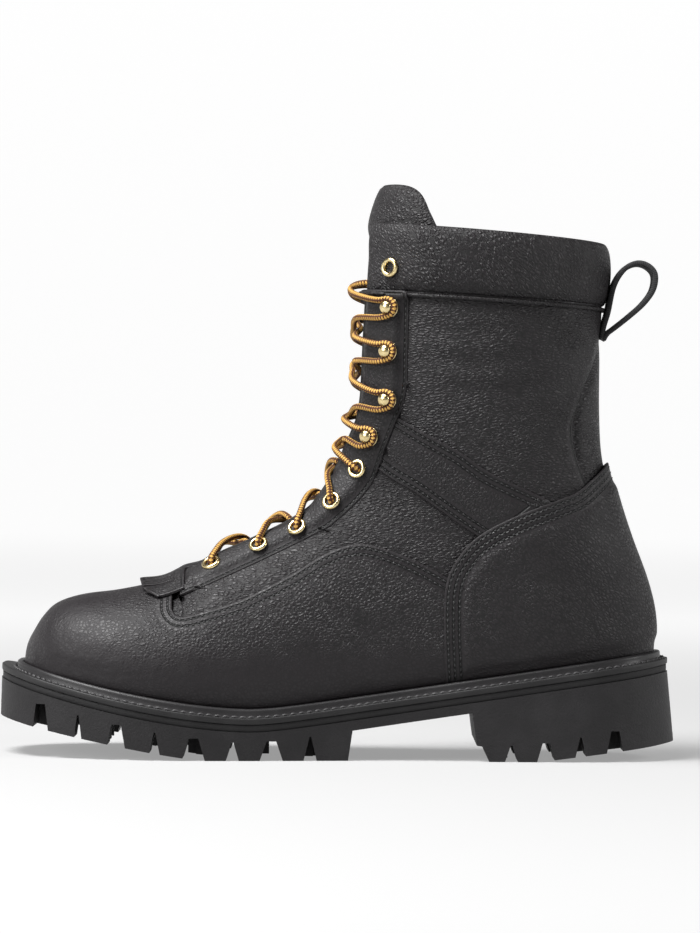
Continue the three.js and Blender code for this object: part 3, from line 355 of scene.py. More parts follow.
        ht, hv = 0.02, 0.0012
        here = value(t, v)
        ft = (value(t + ht, v) - value(t - ht, v)) / (2 * ht)
        fv = (value(t, v + hv) - value(t, v - hv)) / (2 * hv)
        along, around = self.tangents(np.maximum(t, -0.9), v)
        e, f, g = (along ** 2).sum(-1), (along * around).sum(-1), (around ** 2).sum(-1)
        det = np.maximum(e * g - f * f, 1e-9)
        dt, dv = (g * ft - f * fv) / det, (e * fv - f * ft) / det
        square = np.maximum(ft * dt + fv * dv, 0.03)
        slope = np.sqrt(square)
        return here, slope, dt / slope, dv / slope

    def rows_between(self, low: float, high: float, pitch: float, shares: Sequence[float]) -> Array:
        """Stations whose rings lie no more than a pitch apart.

        Args:
            low: First station.
            high: Last station.
            pitch: Greatest distance between two rings.
            shares: Shares of the rings at which the distance is looked at.

        Returns:
            The stations, from low to high.
        """
        fine = np.linspace(low, high, int((high - low) / 0.04) + 2)
        grid_t, grid_v = np.meshgrid(fine, np.asarray(shares, float), indexing="ij")
        places = self.bare(grid_t, grid_v)
        step = np.linalg.norm(np.diff(places, axis=0), axis=2).max(axis=1) + 1e-6
        run = np.concatenate([[0.0], np.cumsum(step)])
        count = max(2, int(math.ceil(run[-1] / pitch)))
        return np.interp(np.linspace(0.0, run[-1], count + 1), run, fine)


last = Last()


@dataclass
class Heights:
    """Heights of the sole's layers under the upper's edge."""

    feather: float = 23.4
    toe_spring: float = 19.0
    heel_lift: float = 27.0
    ball_along: float = 0.64
    spring_power: float = 1.6
    lift_blend: float = 0.08
    bead: float = 4.1
    welt: float = 3.0
    midsole: float = 2.8
    outsole: float = 4.6
    gap: float = 0.3

    def edge(self, x: Array) -> Array:
        """Height of the upper's lower edge."""
        along = last.along(x)
        rise = np.clip((along - self.ball_along) / (1 - self.ball_along), 0, 2) ** self.spring_power
        t = np.clip((self.ball_along - along) / self.ball_along, 0, 2)
        blend = self.lift_blend
        lift = (np.hypot(t, blend) - blend) / (math.hypot(1, blend) - blend)
        return self.feather + self.toe_spring * rise + self.heel_lift * lift

    def welt_top(self, x: Array) -> Array:
        """Height of the welt's top."""
        return self.edge(x) - self.bead

    def welt_under(self, x: Array) -> Array:
        """Height of the welt's underside."""
        return self.welt_top(x) - self.welt

    def midsole_top(self, x: Array) -> Array:
        """Height of the midsole's top."""
        return self.welt_under(x) - self.gap

    def midsole_under(self, x: Array) -> Array:
        """Height of the midsole's underside."""
        return self.midsole_top(x) - self.midsole

    def outsole_top(self, x: Array) -> Array:
        """Height of the outsole's top."""
        return self.midsole_under(x) - self.gap

    def groove_top(self, x: Array) -> Array:
        """Height of the grooves' tops."""
        return self.outsole_top(x) - self.outsole


heights = Heights()


@dataclass(frozen=True)
class Outline:
    """Closed outline in the side view, as x and z."""

    points: Array

    def distance(self, x: Array, z: Array) -> Array:
        """Distance of places from the outline, under 0 inside it.

        Args:
            x: Distance along the boot of each place.
            z: Height of each place.

        Returns:
            The signed distances.
        """
        best = np.full(np.shape(x), 1e9)
        inside = np.zeros(np.shape(x), bool)
        for (ax, az), (bx, bz) in zip(self.points, np.roll(self.points, -1, axis=0)):
            dx, dz = bx - ax, bz - az
            size = dx * dx + dz * dz
            if size < 1e-9:
                continue
            f = np.clip(((x - ax) * dx + (z - az) * dz) / size, 0.0, 1.0)
            best = np.minimum(best, np.hypot(x - ax - f * dx, z - az - f * dz))
            crossed = (az > z) != (bz > z)
            if abs(dz) > 1e-9:
                inside ^= crossed & (x < ax + (z - az) * dx / dz)
        return np.where(inside, -best, best)

    def __call__(self, p: Array, t: Array, v: Array) -> Array:
        """The distance, as a region."""
        return self.distance(p[..., 0], p[..., 2])


@dataclass(frozen=True)
class Crease:
    """Soft trough or ridge in the leather.

    A trough has a depth over 0 and a ridge one under 0. Its line is drawn in the side view.
    """

    line: tuple[tuple[float, float], ...]
    width: float
    depth: float
    side: Optional[Side] = None

    def height(self, p: Array) -> Array:
        """Height that the crease adds at places."""
        path = curve_through(last.side_view(self.line), 10)
        x, z = p[..., 0], p[..., 2]
        best = np.full(np.shape(x), 1e9)
        share = np.zeros(np.shape(x))
        for k, ((ax, az), (bx, bz)) in enumerate(zip(path[:-1], path[1:])):
            dx, dz = bx - ax, bz - az
            f = np.clip(((x - ax) * dx + (z - az) * dz) / (dx * dx + dz * dz), 0.0, 1.0)
            away = np.hypot(x - ax - f * dx, z - az - f * dz)
            share = np.where(away < best, (k + f) / 10.0, share)
            best = np.minimum(best, away)
        fade = np.clip(4.0 * share, 0.0, 1.0) * np.clip(4.0 * (1.0 - share), 0.0, 1.0)
        made = -self.depth * np.exp(-(best / self.width) ** 2) * fade
        if self.side is not None:
            made = np.where(np.sign(p[..., 1]) == self.side.value, made, 0.0)
        return made


@dataclass
class Pattern:
    """Edges of the leather pieces, drawn in the side view as shares of the boot."""

    reach: float = 400.0
    foot_half_gap: float = 11.5
    shaft_half_gap: float = 17.0
    facing_front: float = 0.75
    tuck: float = 3.6
    vamp_seam: tuple = ((.33, .67), (.378, .728), (.434, .779), (.478, .791), (.526, .75), (.58, .671),
                        (.653, .582), (.709, .538), (.746, .515), (.76, .535), (.762, .575))
    counter_edge: tuple = ((.332, .2), (.338, .48), (.336, .637), (.321, .729), (.288, .822), (.234, .896),
                           (.156, .969), (.13, .997), (.097, 1.066), (.082, 1.103))
    strap_upper: tuple = ((.43, 1.29), (.365, 1.202), (.315, 1.138), (.275, 1.073), (.235, 1.026),
                          (.17, .957))
    strap_lower: tuple = ((.47, 1.13), (.43, 1.05), (.384, .985), (.344, .919), (.306, .858), (.26, .79))
    facing_rear: tuple = ((.396, 1.75), (.397, 1.502), (.4, 1.347), (.424, 1.179), (.454, 1.006),
                          (.508, .872), (.545, .819), (.619, .731), (.692, .65), (.75, .588))
    backstay_edge: tuple = ((.09, 1.7), (.094, 1.52), (.11, 1.423), (.125, 1.316), (.136, 1.219),
                            (.125, 1.102), (.105, 1.0))
    creases: tuple[Crease, ...] = (
        Crease(((.088, 1.64), (.097, 1.487), (.116, 1.371), (.131, 1.27), (.132, 1.2), (.126, 1.12), (.108, 1.0)),
               1.35, 2.1),
        Crease(((.541, .616), (.513, .556), (.483, .511)), 2.2, .4),
        Crease(((.576, .575), (.543, .511), (.507, .458)), 2.4, .35),
        Crease(((.507, .666), (.474, .616), (.444, .576)), 2.2, .35),
        Crease(((.383, 1.6), (.298, 1.578), (.219, 1.6)), 3.5, .5),
        Crease(((.38, 1.502), (.292, 1.466), (.188, 1.502)), 4.0, .55),
        Crease(((.367, 1.392), (.267, 1.362), (.172, 1.406)), 4.0, .5),
    )

    def line(self, shares: Sequence[Sequence[float]], count: int = 48) -> Array:
        """A smooth side-view line."""
        return curve_through(last.side_view(shares), count)

    def vamp(self) -> Outline:
        """Everything ahead of the counter and under the vamp's seam."""
        seam = self.line(self.vamp_seam, 80)
        far = self.reach
        corners = [(seam[-1][0], far), (-far, far), (-far, -far), (seam[0][0] + 8.0, -far),
                   (seam[0][0] + 8.0, seam[0][1] - 6.0)]
        return Outline(np.vstack([seam, corners]))

    def counter(self) -> Outline:
        """Everything behind the counter's edge."""
        edge = self.line(self.counter_edge, 60)
        far = self.reach
        corners = [(edge[-1][0] + far, edge[-1][1] + 2.0), (2 * far, -far), (edge[0][0], -far)]
        return Outline(np.vstack([edge, corners]))

    def strap(self) -> Outline:
        """The ankle strap, with its ends under the facing and the counter."""
        return Outline(np.vstack([self.line(self.strap_upper), self.line(self.strap_lower)[::-1]]))

    def facing(self) -> Outline:
        """The eyelet facing, ahead of its rear edge."""
        rear = self.line(self.facing_rear, 60)
        top = last.collar_height
        return Outline(np.vstack([rear, [(rear[-1][0], top), (rear[0][0], top)]]))

    def backstay(self) -> Outline:
        """The strip up the back."""
        edge = self.line(self.backstay_edge, 40)
        far = last.heel_back + self.reach
        top, low = edge[0][1] + 40.0, edge[-1][1] - 10.0
        return Outline(np.vstack([[(edge[0][0], top)], edge, [(edge[-1][0], low), (far, low), (far, top)]]))

    def throat_half(self, t: Array) -> Array:
        """Half the gap between the facings at stations."""
        share = smooth(t, last.shaft_station - 6.0, last.shaft_station)
        return self.foot_half_gap + (self.shaft_half_gap - self.foot_half_gap) * share

    def throat(self, p: Array, t: Array, v: Array) -> Array:
        """How far places lie inside the gap between the facings."""
        centre = last.section(np.asarray(t, float))[..., 5] * last.ball_width
        cut = np.minimum(self.throat_half(t) - np.abs(p[..., 1] - centre), (t - 7.6) * 14.0)
        share = np.mod(v, 1.0)
        return np.where((share > 0.25) & (share < 0.75), cut, -60.0)

    def sole(self, p: Array, t: Array, v: Array) -> Array:
        """How far places lie under the edge that the welt hides."""
        return heights.edge(p[..., 0]) - self.tuck - p[..., 2]

    def over(self, station: float) -> Region:
        """How far places lie above a station of the shaft."""
        return lambda p, t, v: (t - station) * 17.0

    def relief(self, p: Array) -> Array:
        """Height of all creases together at places."""
        total = np.zeros(p.shape[:-1])
        for crease in self.creases:
            total = total + crease.height(p)
        return total


pattern = Pattern()


def inside_all(*regions: Region) -> Region:
    """The part that lies inside every region."""
    return lambda p, t, v: np.maximum.reduce([region(p, t, v) for region in regions])


def outside(region: Region) -> Region:
    """The part that lies outside a region."""
    return lambda p, t, v: -region(p, t, v)


def grid(columns: int, rows: int) -> tuple[bmesh.types.BMesh, Array]:
    """A flat grid.

    Args:
        columns: Faces across.
        rows: Faces up.

    Returns:
        The grid, and the place of each vertex in it as shares from 0 to 1.
    """
    bm = bmesh.new()
    bmesh.ops.create_grid(bm, x_segments=columns, y_segments=rows, size=1.0)
    places = np.array([(v.co.x, v.co.y) for v in bm.verts])
    return bm, (places + 1.0) / 2.0


def place(bm: bmesh.types.BMesh, points: Array) -> None:
    """Puts a mesh's vertices at points given in millimetres."""
    for vert, co in zip(bm.verts, points * METRES):
        vert.co = co


def add_piece(bm: bmesh.types.BMesh, name: str, materials: Sequence[bpy.types.Material],
              nodes: Sequence[str] = (), sharp: float = 180.0) -> bpy.types.Object:
    """Makes a finished piece of a mesh.

    Args:
        bm: The mesh, which is freed.
        name: The piece's name.
        materials: Its materials, in the order of the faces' numbers.
        nodes: CAD nodes that it stands for.
        sharp: Angle in degrees over which an edge isn't smoothed.

    Returns:
        The piece.
    """
    mesh = bpy.data.meshes.new(name)
    bm.to_mesh(mesh)
    bm.free()
    for material in materials:
        mesh.materials.append(material)
    mesh.shade_smooth()
    if sharp < 180.0:
        mesh.set_sharp_from_angle(angle=math.radians(sharp))
    piece = bpy.data.objects.new(name, mesh)
    bpy.context.scene.collection.objects.link(piece)
    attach(piece, BODY)
    if nodes:
        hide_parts(*nodes)
    log.info("%s: %d faces", name, len(mesh.polygons))
    return piece


@dataclass
class Leather:
    """Sheet of leather that follows the last inside a region."""

    name: str
    region: Region
    stations: tuple[float, float]
    shares: tuple[float, float]
    height: Callable[[Array, Array], Array]
    thickness: float
    pitch: float = 1.7
    ring: float = 0.5
    rounding: float = 0.3
    creased: float = 1.0
    seam: Optional[Region] = None

    def build(self, materials: Sequence[bpy.types.Material], slot: str,
              nodes: Sequence[str] = ()) -> bpy.types.Object:
        """Cuts the sheet out of a grid, snaps its edge to the region's and gives it its thickness.

        Args:
            materials: Face and lining material.
            slot: Not used.
            nodes: CAD nodes that the sheet stands for.

        Returns:
            The piece.
        """
        (t0, t1), (v0, v1) = self.stations, self.shares
        rows = last.rows_between(t0, t1, self.pitch, np.linspace(v0, v1, 33))
        fine = last.bare(*np.meshgrid(rows, np.linspace(v0, v1, 200), indexing="ij"))
        width = np.linalg.norm(np.diff(fine, axis=1), axis=2).sum(axis=1).max()
        bm, places = grid(int(math.ceil(width / self.pitch)), len(rows) - 1)
        t = np.interp(places[:, 1] * (len(rows) - 1), np.arange(len(rows)), rows)
        v = v0 + places[:, 0] * (v1 - v0)
        number = bm.verts.layers.int.new("number")
        for k, vert in enumerate(bm.verts):
            vert[number] = k
        value = self.region(last.bare(t, v), t, v)
        bm.verts.ensure_lookup_table()
        gone = [bm.verts[k] for k in np.nonzero(value >= 0.0)[0]]
        bmesh.ops.delete(bm, geom=gone, context="VERTS")
        loose = [vert for vert in bm.verts if not vert.link_faces]
        bmesh.ops.delete(bm, geom=loose, context="VERTS")
        ids = np.array([vert[number] for vert in bm.verts])
        rim = np.array([vert.is_boundary for vert in bm.verts]) & (value[ids] > -2.5 * self.pitch)
        t[ids[rim]], v[ids[rim]] = last.slide(self.region, t[ids[rim]], v[ids[rim]], -self.ring)
        rim_ids = set(ids[rim].tolist())
        edges = [edge for edge in bm.edges if edge.is_boundary and all(w[number] in rim_ids for w in edge.verts)]
        made = bmesh.ops.extrude_edge_only(bm, edges=edges)["geom"]
        outer = {item for item in made if isinstance(item, bmesh.types.BMVert)}
        ids = np.array([vert[number] for vert in bm.verts])
        lip = np.array([vert in outer for vert in bm.verts])
        t, v = t[ids], v[ids]
        t[lip], v[lip] = last.slide(self.region, t[lip], v[lip])
        here, slope, _, _ = last.slope(self.region, t, v)
        edge = np.where(lip, 0.0, np.maximum(-here / slope, 0.0))
        bare = last.bare(t, v)
        lift = self.height(bare, edge) + self.creased * pattern.relief(bare) - self.rounding * lip
        place(bm, bare + last.normal(t, v) * lift[:, None])
        if self.seam is not None:
            here, slope, _, _ = last.slope(self.seam, t, v)
            edge = np.maximum(-here / slope, 0.0)
        layer = bm.verts.layers.float.new("edge")
        for vert, far in zip(bm.verts, edge):
            vert[layer] = far
        bmesh.ops.reverse_faces(bm, faces=bm.faces[:])
        bmesh.ops.remove_doubles(bm, verts=bm.verts[:], dist=0.02 * METRES)
        piece = add_piece(bm, self.name, materials, nodes)
        wall = piece.modifiers.new("wall", "SOLIDIFY")
        wall.thickness = self.thickness * METRES
        wall.offset = -1.0
        if len(materials) > 1:
            wall.material_offset = 1
        return piece


def seam_line(region: Region, shares: Sequence[Sequence[float]], side: Side, inwards: float,
              height: float, count: int = 160) -> tuple[Array, Array]:
    """A line at a distance inside a region's edge.

    Args:
        region: The region.
        shares: The edge, as side-view shares.
        side: Side of the boot.
        inwards: Distance from the edge, over 0 inside the region.
        height: Height above the last.
        count: Number of steps.

    Returns:
        The line's places, and the outward normals there.
    """
    edge = curve_through(last.side_view(shares), count)
    t, v = last.locate(edge[:, 0], edge[:, 1], side)
    t, v = last.slide(region, t, v, -inwards)
    bare, normal = last.bare(t, v), last.normal(t, v)
    lift = height + pattern.relief(bare)
    return bare + normal * lift[:, None], normal


@dataclass
class Thread:
    """Row of stitches."""

    pitch: float = 2.65
    length: float = 1.95
    radius: float = 0.46
    sag: float = 0.3

    def template(self) -> tuple[Array, list[tuple[int, ...]]]:
        """Places and faces of one stitch, which lies along X."""
        bm = bmesh.new()
        bmesh.ops.create_uvsphere(bm, u_segments=5, v_segments=6, radius=1.0)
        bmesh.ops.rotate(bm, cent=(0, 0, 0), matrix=Matrix.Rotation(math.pi / 2, 3, "Y"), verts=bm.verts[:])
        places = np.array([vert.co[:] for vert in bm.verts])
        faces = [tuple(vert.index for vert in face.verts) for face in bm.faces]
        bm.free()
        blunt = np.sign(places[:, 0]) * np.abs(places[:, 0]) ** 0.7
        made = np.stack([blunt * self.length / 2, places[:, 1] * self.radius, places[:, 2] * self.radius], 1)
        made[:, 2] -= self.sag * blunt ** 2
        return made, faces

    def sew(self, lines: Sequence[tuple[Array, Array]], name: str, material: bpy.types.Material,
            slot: str = "leather", keep: Optional[Callable[[Array], Array]] = None) -> bpy.types.Object:
        """Sews stitches along lines.

        Args:
            lines: Places and outward normals of each line.
            name: The piece's name.
            material: The thread's material.
            slot: Not used.
            keep: Says which places get a stitch.

        Returns:
            The piece that holds every stitch.
        """
        shape, faces = self.template()
        verts, polys, count = [], [], 0
        for points, normals in lines:
            at, run = evenly(points, self.pitch, self.pitch / 2)
            centre, normal = along_path(run, points, at), along_path(run, normals, at)
            ahead = along_path(run, points, at + 0.3) - along_path(run, points, at - 0.3)
            if keep is not None:
                kept = keep(centre)
                centre, normal, ahead = centre[kept], normal[kept], ahead[kept]
            ahead /= np.linalg.norm(ahead, axis=1, keepdims=True) + 1e-9
            across = np.cross(normal, ahead)
            across /= np.linalg.norm(across, axis=1, keepdims=True) + 1e-9
            out = np.cross(ahead, across)
            for c, a, b, n in zip(centre, ahead, across, out):
                verts.append(c + shape[:, :1] * a + shape[:, 1:2] * b + shape[:, 2:] * n)
                polys += [tuple(k + count for k in face) for face in faces]
                count += len(shape)
        mesh = bpy.data.meshes.new(name)
        mesh.from_pydata((np.vstack(verts) * METRES).tolist(), [], polys)
        bm = bmesh.new()
        bm.from_mesh(mesh)
        bpy.data.meshes.remove(mesh)
        return add_piece(bm, name, [material])


class Nodes:
    """Short way to lay out a material's nodes."""

    def __init__(self, name: str) -> None:
        """Starts a material with a plain shader."""
        self.material = bpy.data.materials.new(name)
        self.material.use_nodes = True
        self.tree = self.material.node_tree
        self.shader = self.tree.nodes["Principled BSDF"]

    def add(self, kind: str, **settings: object) -> bpy.types.Node:
        """Adds a node.

        Args:
            kind: The node's type.
            settings: Properties, or inputs by name with spaces as underscores. A socket is linked.

        Returns:
            The node.
        """
        node = self.tree.nodes.new(kind)
        for key, value in settings.items():
            if hasattr(node, key):
                setattr(node, key, value)
                continue
            self.feed(node.inputs[key.replace("_", " ")], value)
        return node

    def feed(self, socket: bpy.types.NodeSocket, value: object) -> None:
        """Links a socket, or sets its value."""
        if isinstance(value, bpy.types.NodeSocket):
            self.tree.links.new(value, socket)
        else:
            socket.default_value = value

    def math(self, operation: str, first: object, second: object = 0.0, third: object = 0.0) -> bpy.types.NodeSocket:
        """A number worked out from others."""
        node = self.tree.nodes.new("ShaderNodeMath")
        node.operation = operation
        for socket, value in zip(node.inputs, (first, second, third)):
            self.feed(socket, value)
        return node.outputs[0]

    def ramp(self, value: object, low: float, high: float, start: float = 0.0, end: float = 1.0) -> bpy.types.NodeSocket:
        """A smooth step between two values."""
        node = self.add("ShaderNodeMapRange", interpolation_type="SMOOTHSTEP")
        for socket, number in zip(node.inputs, (value, low, high, start, end)):
            self.feed(socket, number)
        return node.outputs[0]

    def mix(self, share: object, first: object, second: object) -> bpy.types.NodeSocket:
        """A colour between two others."""
        node = self.tree.nodes.new("ShaderNodeMix")
        node.data_type = "RGBA"
        self.feed(node.inputs[0], share)
        self.feed(node.inputs[6], first)
        self.feed(node.inputs[7], second)
        return node.outputs[2]

    def noise(self, where: object, scale: float, detail: float = 2.0, rough: float = 0.5) -> bpy.types.NodeSocket:
        """A noise from 0 to 1."""
        return self.add("ShaderNodeTexNoise", Vector=where, Scale=scale, Detail=detail, Roughness=rough).outputs[0]

    def place(self, stretch: Sequence[float] = (1.0, 1.0, 1.0), turn: float = 0.0) -> bpy.types.NodeSocket:
        """Object coordinates in millimetres, turned in the side view and then stretched."""
        coords = self.add("ShaderNodeTexCoord").outputs["Object"]
        if turn:
            coords = self.add("ShaderNodeVectorRotate", rotation_type="Y_AXIS", Vector=coords,
                              Angle=math.radians(turn)).outputs[0]
        scale = tuple(1000.0 * s for s in stretch)
        return self.add("ShaderNodeMapping", Vector=coords, Scale=scale).outputs[0]

    def attribute(self, name: str) -> bpy.types.NodeSocket:
        """A number kept on the mesh."""
        return self.add("ShaderNodeAttribute", attribute_name=name).outputs["Fac"]

    def finish(self, color: object, roughness: object, height: object = None, strength: float = 1.0,
               **uniform: float) -> bpy.types.Material:
        """Sets the shader.

        Args:
            color: Base colour.
            roughness: Roughness.
            height: Relief in millimetres.
            strength: Share of the relief that shows.
            uniform: Other inputs of the shader.

        Returns:
            The material.
        """
        self.feed(self.shader.inputs["Base Color"], color)
        self.feed(self.shader.inputs["Roughness"], roughness)
        for key, value in uniform.items():
            self.shader.inputs[key.replace("_", " ")].default_value = value
        if height is not None:
            bump = self.add("ShaderNodeBump", Height=height, Distance=METRES, Strength=strength)
            self.feed(self.shader.inputs["Normal"], bump.outputs[0])
        return self.material


def shade(red: float, green: float, blue: float) -> tuple[float, float, float, float]:
    """A colour from linear parts."""
    return (red, green, blue, 1.0)


@dataclass(frozen=True)
class LeatherFinish:
    """Black leather: pebble grain, seam grooves, a soft gloss, worn high spots, and painted shade in the grain's cracks
    and along the stitch rows.
    """

    name: str
    color: tuple[float, float, float] = (0.0105, 0.0082, 0.0096)
    worn: tuple[float, float, float] = (0.028, 0.025, 0.026)
    roughness: float = 0.46
    cell: float = 1.35
    stretch: tuple[float, float, float] = (1.0, 1.0, 1.0)
    turn: float = 0.0
    grain: float = 0.3
    toe_grain: float = 1.0
    low_grain: float = 1.0
    rows: tuple[float, ...] = ()
    groove: float = 0.5
    groove_width: float = 0.7

    def material(self) -> bpy.types.Material:
        """Makes the material."""
        n = Nodes(self.name)
        where = n.place(self.stretch, self.turn)
        plain = n.place()
        warp = n.add("ShaderNodeTexNoise", Vector=where, Scale=0.55, Detail=2.0).outputs[1]
        away = n.add("ShaderNodeVectorMath", operation="MULTIPLY_ADD")
        n.feed(away.inputs[0], warp)
        away.inputs[1].default_value = (1.3, 1.3, 1.3)
        n.feed(away.inputs[2], where)
        cells = n.add("ShaderNodeTexVoronoi", feature="DISTANCE_TO_EDGE", Vector=away.outputs[0],
                      Scale=1.0 / self.cell, Randomness=1.0).outputs["Distance"]
        tops = n.ramp(cells, 0.0, 0.36)
        fine = n.noise(plain, 1.6, 3.0, 0.6)
        large = n.noise(plain, 0.055, 2.0, 0.5)
        patch = n.ramp(large, 0.35, 0.68, 0.55, 1.15)
        parts = n.add("ShaderNodeSeparateXYZ", Vector=plain)
        toe = n.ramp(parts.outputs[0], -118.0, -70.0, self.toe_grain, 1.0)
        low = n.ramp(parts.outputs[2], 36.0, 62.0, self.low_grain, 1.0)
        edge = n.attribute("edge")
        last_row = max(self.rows, default=-9.0)
        open_ = n.math("MULTIPLY", n.math("MULTIPLY", toe, low), n.ramp(edge, last_row + 1.2, last_row + 3.2, 0.3, 1.0))
        depth = n.math("MULTIPLY", n.math("MULTIPLY", patch, open_), self.grain)
        height = n.math("MULTIPLY", tops, depth)
        height = n.math("ADD", height, n.math("MULTIPLY", fine, 0.05))
        height = n.math("ADD", height, n.math("MULTIPLY", n.noise(plain, 0.16, 2.0), 0.5))
        # seam gathers painted shade: the colour darkens to near black along each stitch row, as shade in its groove.
        seam = 0.0
        for row in self.rows:
            off = n.math("ABSOLUTE", n.math("SUBTRACT", edge, row))
            height = n.math("SUBTRACT", height, n.ramp(off, 0.0, self.groove_width, self.groove, 0.0))
            seam = n.math("MAXIMUM", seam, n.ramp(off, 0.5, 1.15, 0.95, 0.0))
        scuffs = n.ramp(n.noise(plain, 0.9, 4.0, 0.7), 0.60, 0.75)
        rub = n.math("MULTIPLY", n.math("MULTIPLY", scuffs, tops), 0.35)
        color = n.mix(rub, shade(*self.color), shade(*self.worn))
        # Painted shade: deep darkens the colour in the cracks between the grain's cells, where shade falls between the
        # raised tops.
        deep = n.math("MULTIPLY", n.ramp(cells, 0.0, 0.2, 0.85, 0.0), open_)
        color = n.mix(n.math("MAXIMUM", seam, deep), color, shade(0.003, 0.0028, 0.003))
        gloss = n.math("ADD", n.ramp(tops, 0.0, 1.0, self.roughness + 0.16, self.roughness),
                       n.math("MULTIPLY", n.math("SUBTRACT", n.noise(plain, 0.09, 3.0), 0.5), 0.16))
        return n.finish(color, gloss, height, Specular_IOR_Level=0.4, Coat_Weight=0.0)


@dataclass(frozen=True)
class PlainFinish:
    """Simple rough material with a fine relief."""

    name: str
    color: tuple[float, float, float]
    dusty: tuple[float, float, float]
    roughness: float
    scale: float = 1.2
    relief: float = 0.08
    specular: float = 0.4

    def material(self) -> bpy.types.Material:
        """Makes the material."""
        n = Nodes(self.name)
        plain = n.place()
        fine = n.noise(plain, self.scale, 4.0, 0.6)
        broad = n.noise(plain, 0.07, 3.0)
        color = n.mix(n.ramp(broad, 0.4, 0.75), shade(*self.color), shade(*self.dusty))
        gloss = n.math("ADD", n.math("MULTIPLY", n.math("SUBTRACT", fine, 0.5), 0.2), self.roughness)
        return n.finish(color, gloss, n.math("MULTIPLY", fine, self.relief), Specular_IOR_Level=self.specular)


@dataclass(frozen=True)
class BrassFinish:
    """Pale polished brass with faint scratches."""

    name: str = "brass"

    def material(self) -> bpy.types.Material:
        """Makes the material."""
        n = Nodes(self.name)
        plain = n.place()
        marks = n.noise(plain, 2.2, 4.0, 0.7)
        dull = n.noise(plain, 0.5, 2.0)
        color = n.mix(n.ramp(dull, 0.35, 0.7), shade(0.80, 0.66, 0.36), shade(0.66, 0.52, 0.26))
        gloss = n.ramp(marks, 0.3, 0.8, 0.18, 0.36)
        return n.finish(color, gloss, n.math("MULTIPLY", marks, 0.02), Metallic=1.0)


@dataclass(frozen=True)
class LaceFinish:
    """Round braided lace: gold with dark brown zigzags. The UV runs in turns along and round."""

    name: str = "lace"

    def material(self) -> bpy.types.Material:
        """Makes the material."""
        n = Nodes(self.name)
        uv = n.add("ShaderNodeUVMap", uv_map="run").outputs[0]
        parts = n.add("ShaderNodeSeparateXYZ", Vector=uv)
        along, around = parts.outputs[0], parts.outputs[1]
        tick = n.math("PINGPONG", n.math("MULTIPLY", along, 5.6), 1.0)
        stripe = n.math("PINGPONG", n.math("MULTIPLY", around, 6.0), 1.0)
        reach = n.ramp(tick, 0.2, 0.8, 0.72, 0.05)
        dark = n.ramp(n.math("SUBTRACT", stripe, reach), -0.06, 0.06)
        height = n.math("MULTIPLY", n.ramp(tick, 0.0, 0.8), 0.2)
        fuzz = n.noise(n.place(), 3.0, 3.0, 0.7)
        gold = n.mix(fuzz, shade(0.74, 0.46, 0.13), shade(0.50, 0.27, 0.055))
        color = n.mix(dark, gold, shade(0.07, 0.024, 0.012))
        height = n.math("ADD", height, n.math("MULTIPLY", fuzz, 0.06))
        return n.finish(color, 0.72, height, Specular_IOR_Level=0.25)


@dataclass(frozen=True)
class WeaveFinish:
    """Woven tape: ribs along the strap and fine picks across it. The UV is in millimetres."""

    name: str
    color: tuple[float, float, float]
    light: tuple[float, float, float]
    pitch: float = 0.9
    relief: float = 0.14

    def material(self) -> bpy.types.Material:
        """Makes the material."""
        n = Nodes(self.name)
        uv = n.add("ShaderNodeUVMap", uv_map="run").outputs[0]
        parts = n.add("ShaderNodeSeparateXYZ", Vector=uv)
        ribs = n.math("PINGPONG", n.math("DIVIDE", parts.outputs[0], self.pitch / 2), 1.0)
        picks = n.math("PINGPONG", n.math("DIVIDE", parts.outputs[1], self.pitch / 2), 1.0)
        height = n.math("MULTIPLY", n.math("ADD", ribs, picks), self.relief)
        fuzz = n.noise(n.place(), 2.0, 3.0, 0.7)
        color = n.mix(n.math("MULTIPLY", ribs, fuzz), shade(*self.color), shade(*self.light))
        return n.finish(color, 0.8, height, Specular_IOR_Level=0.2)


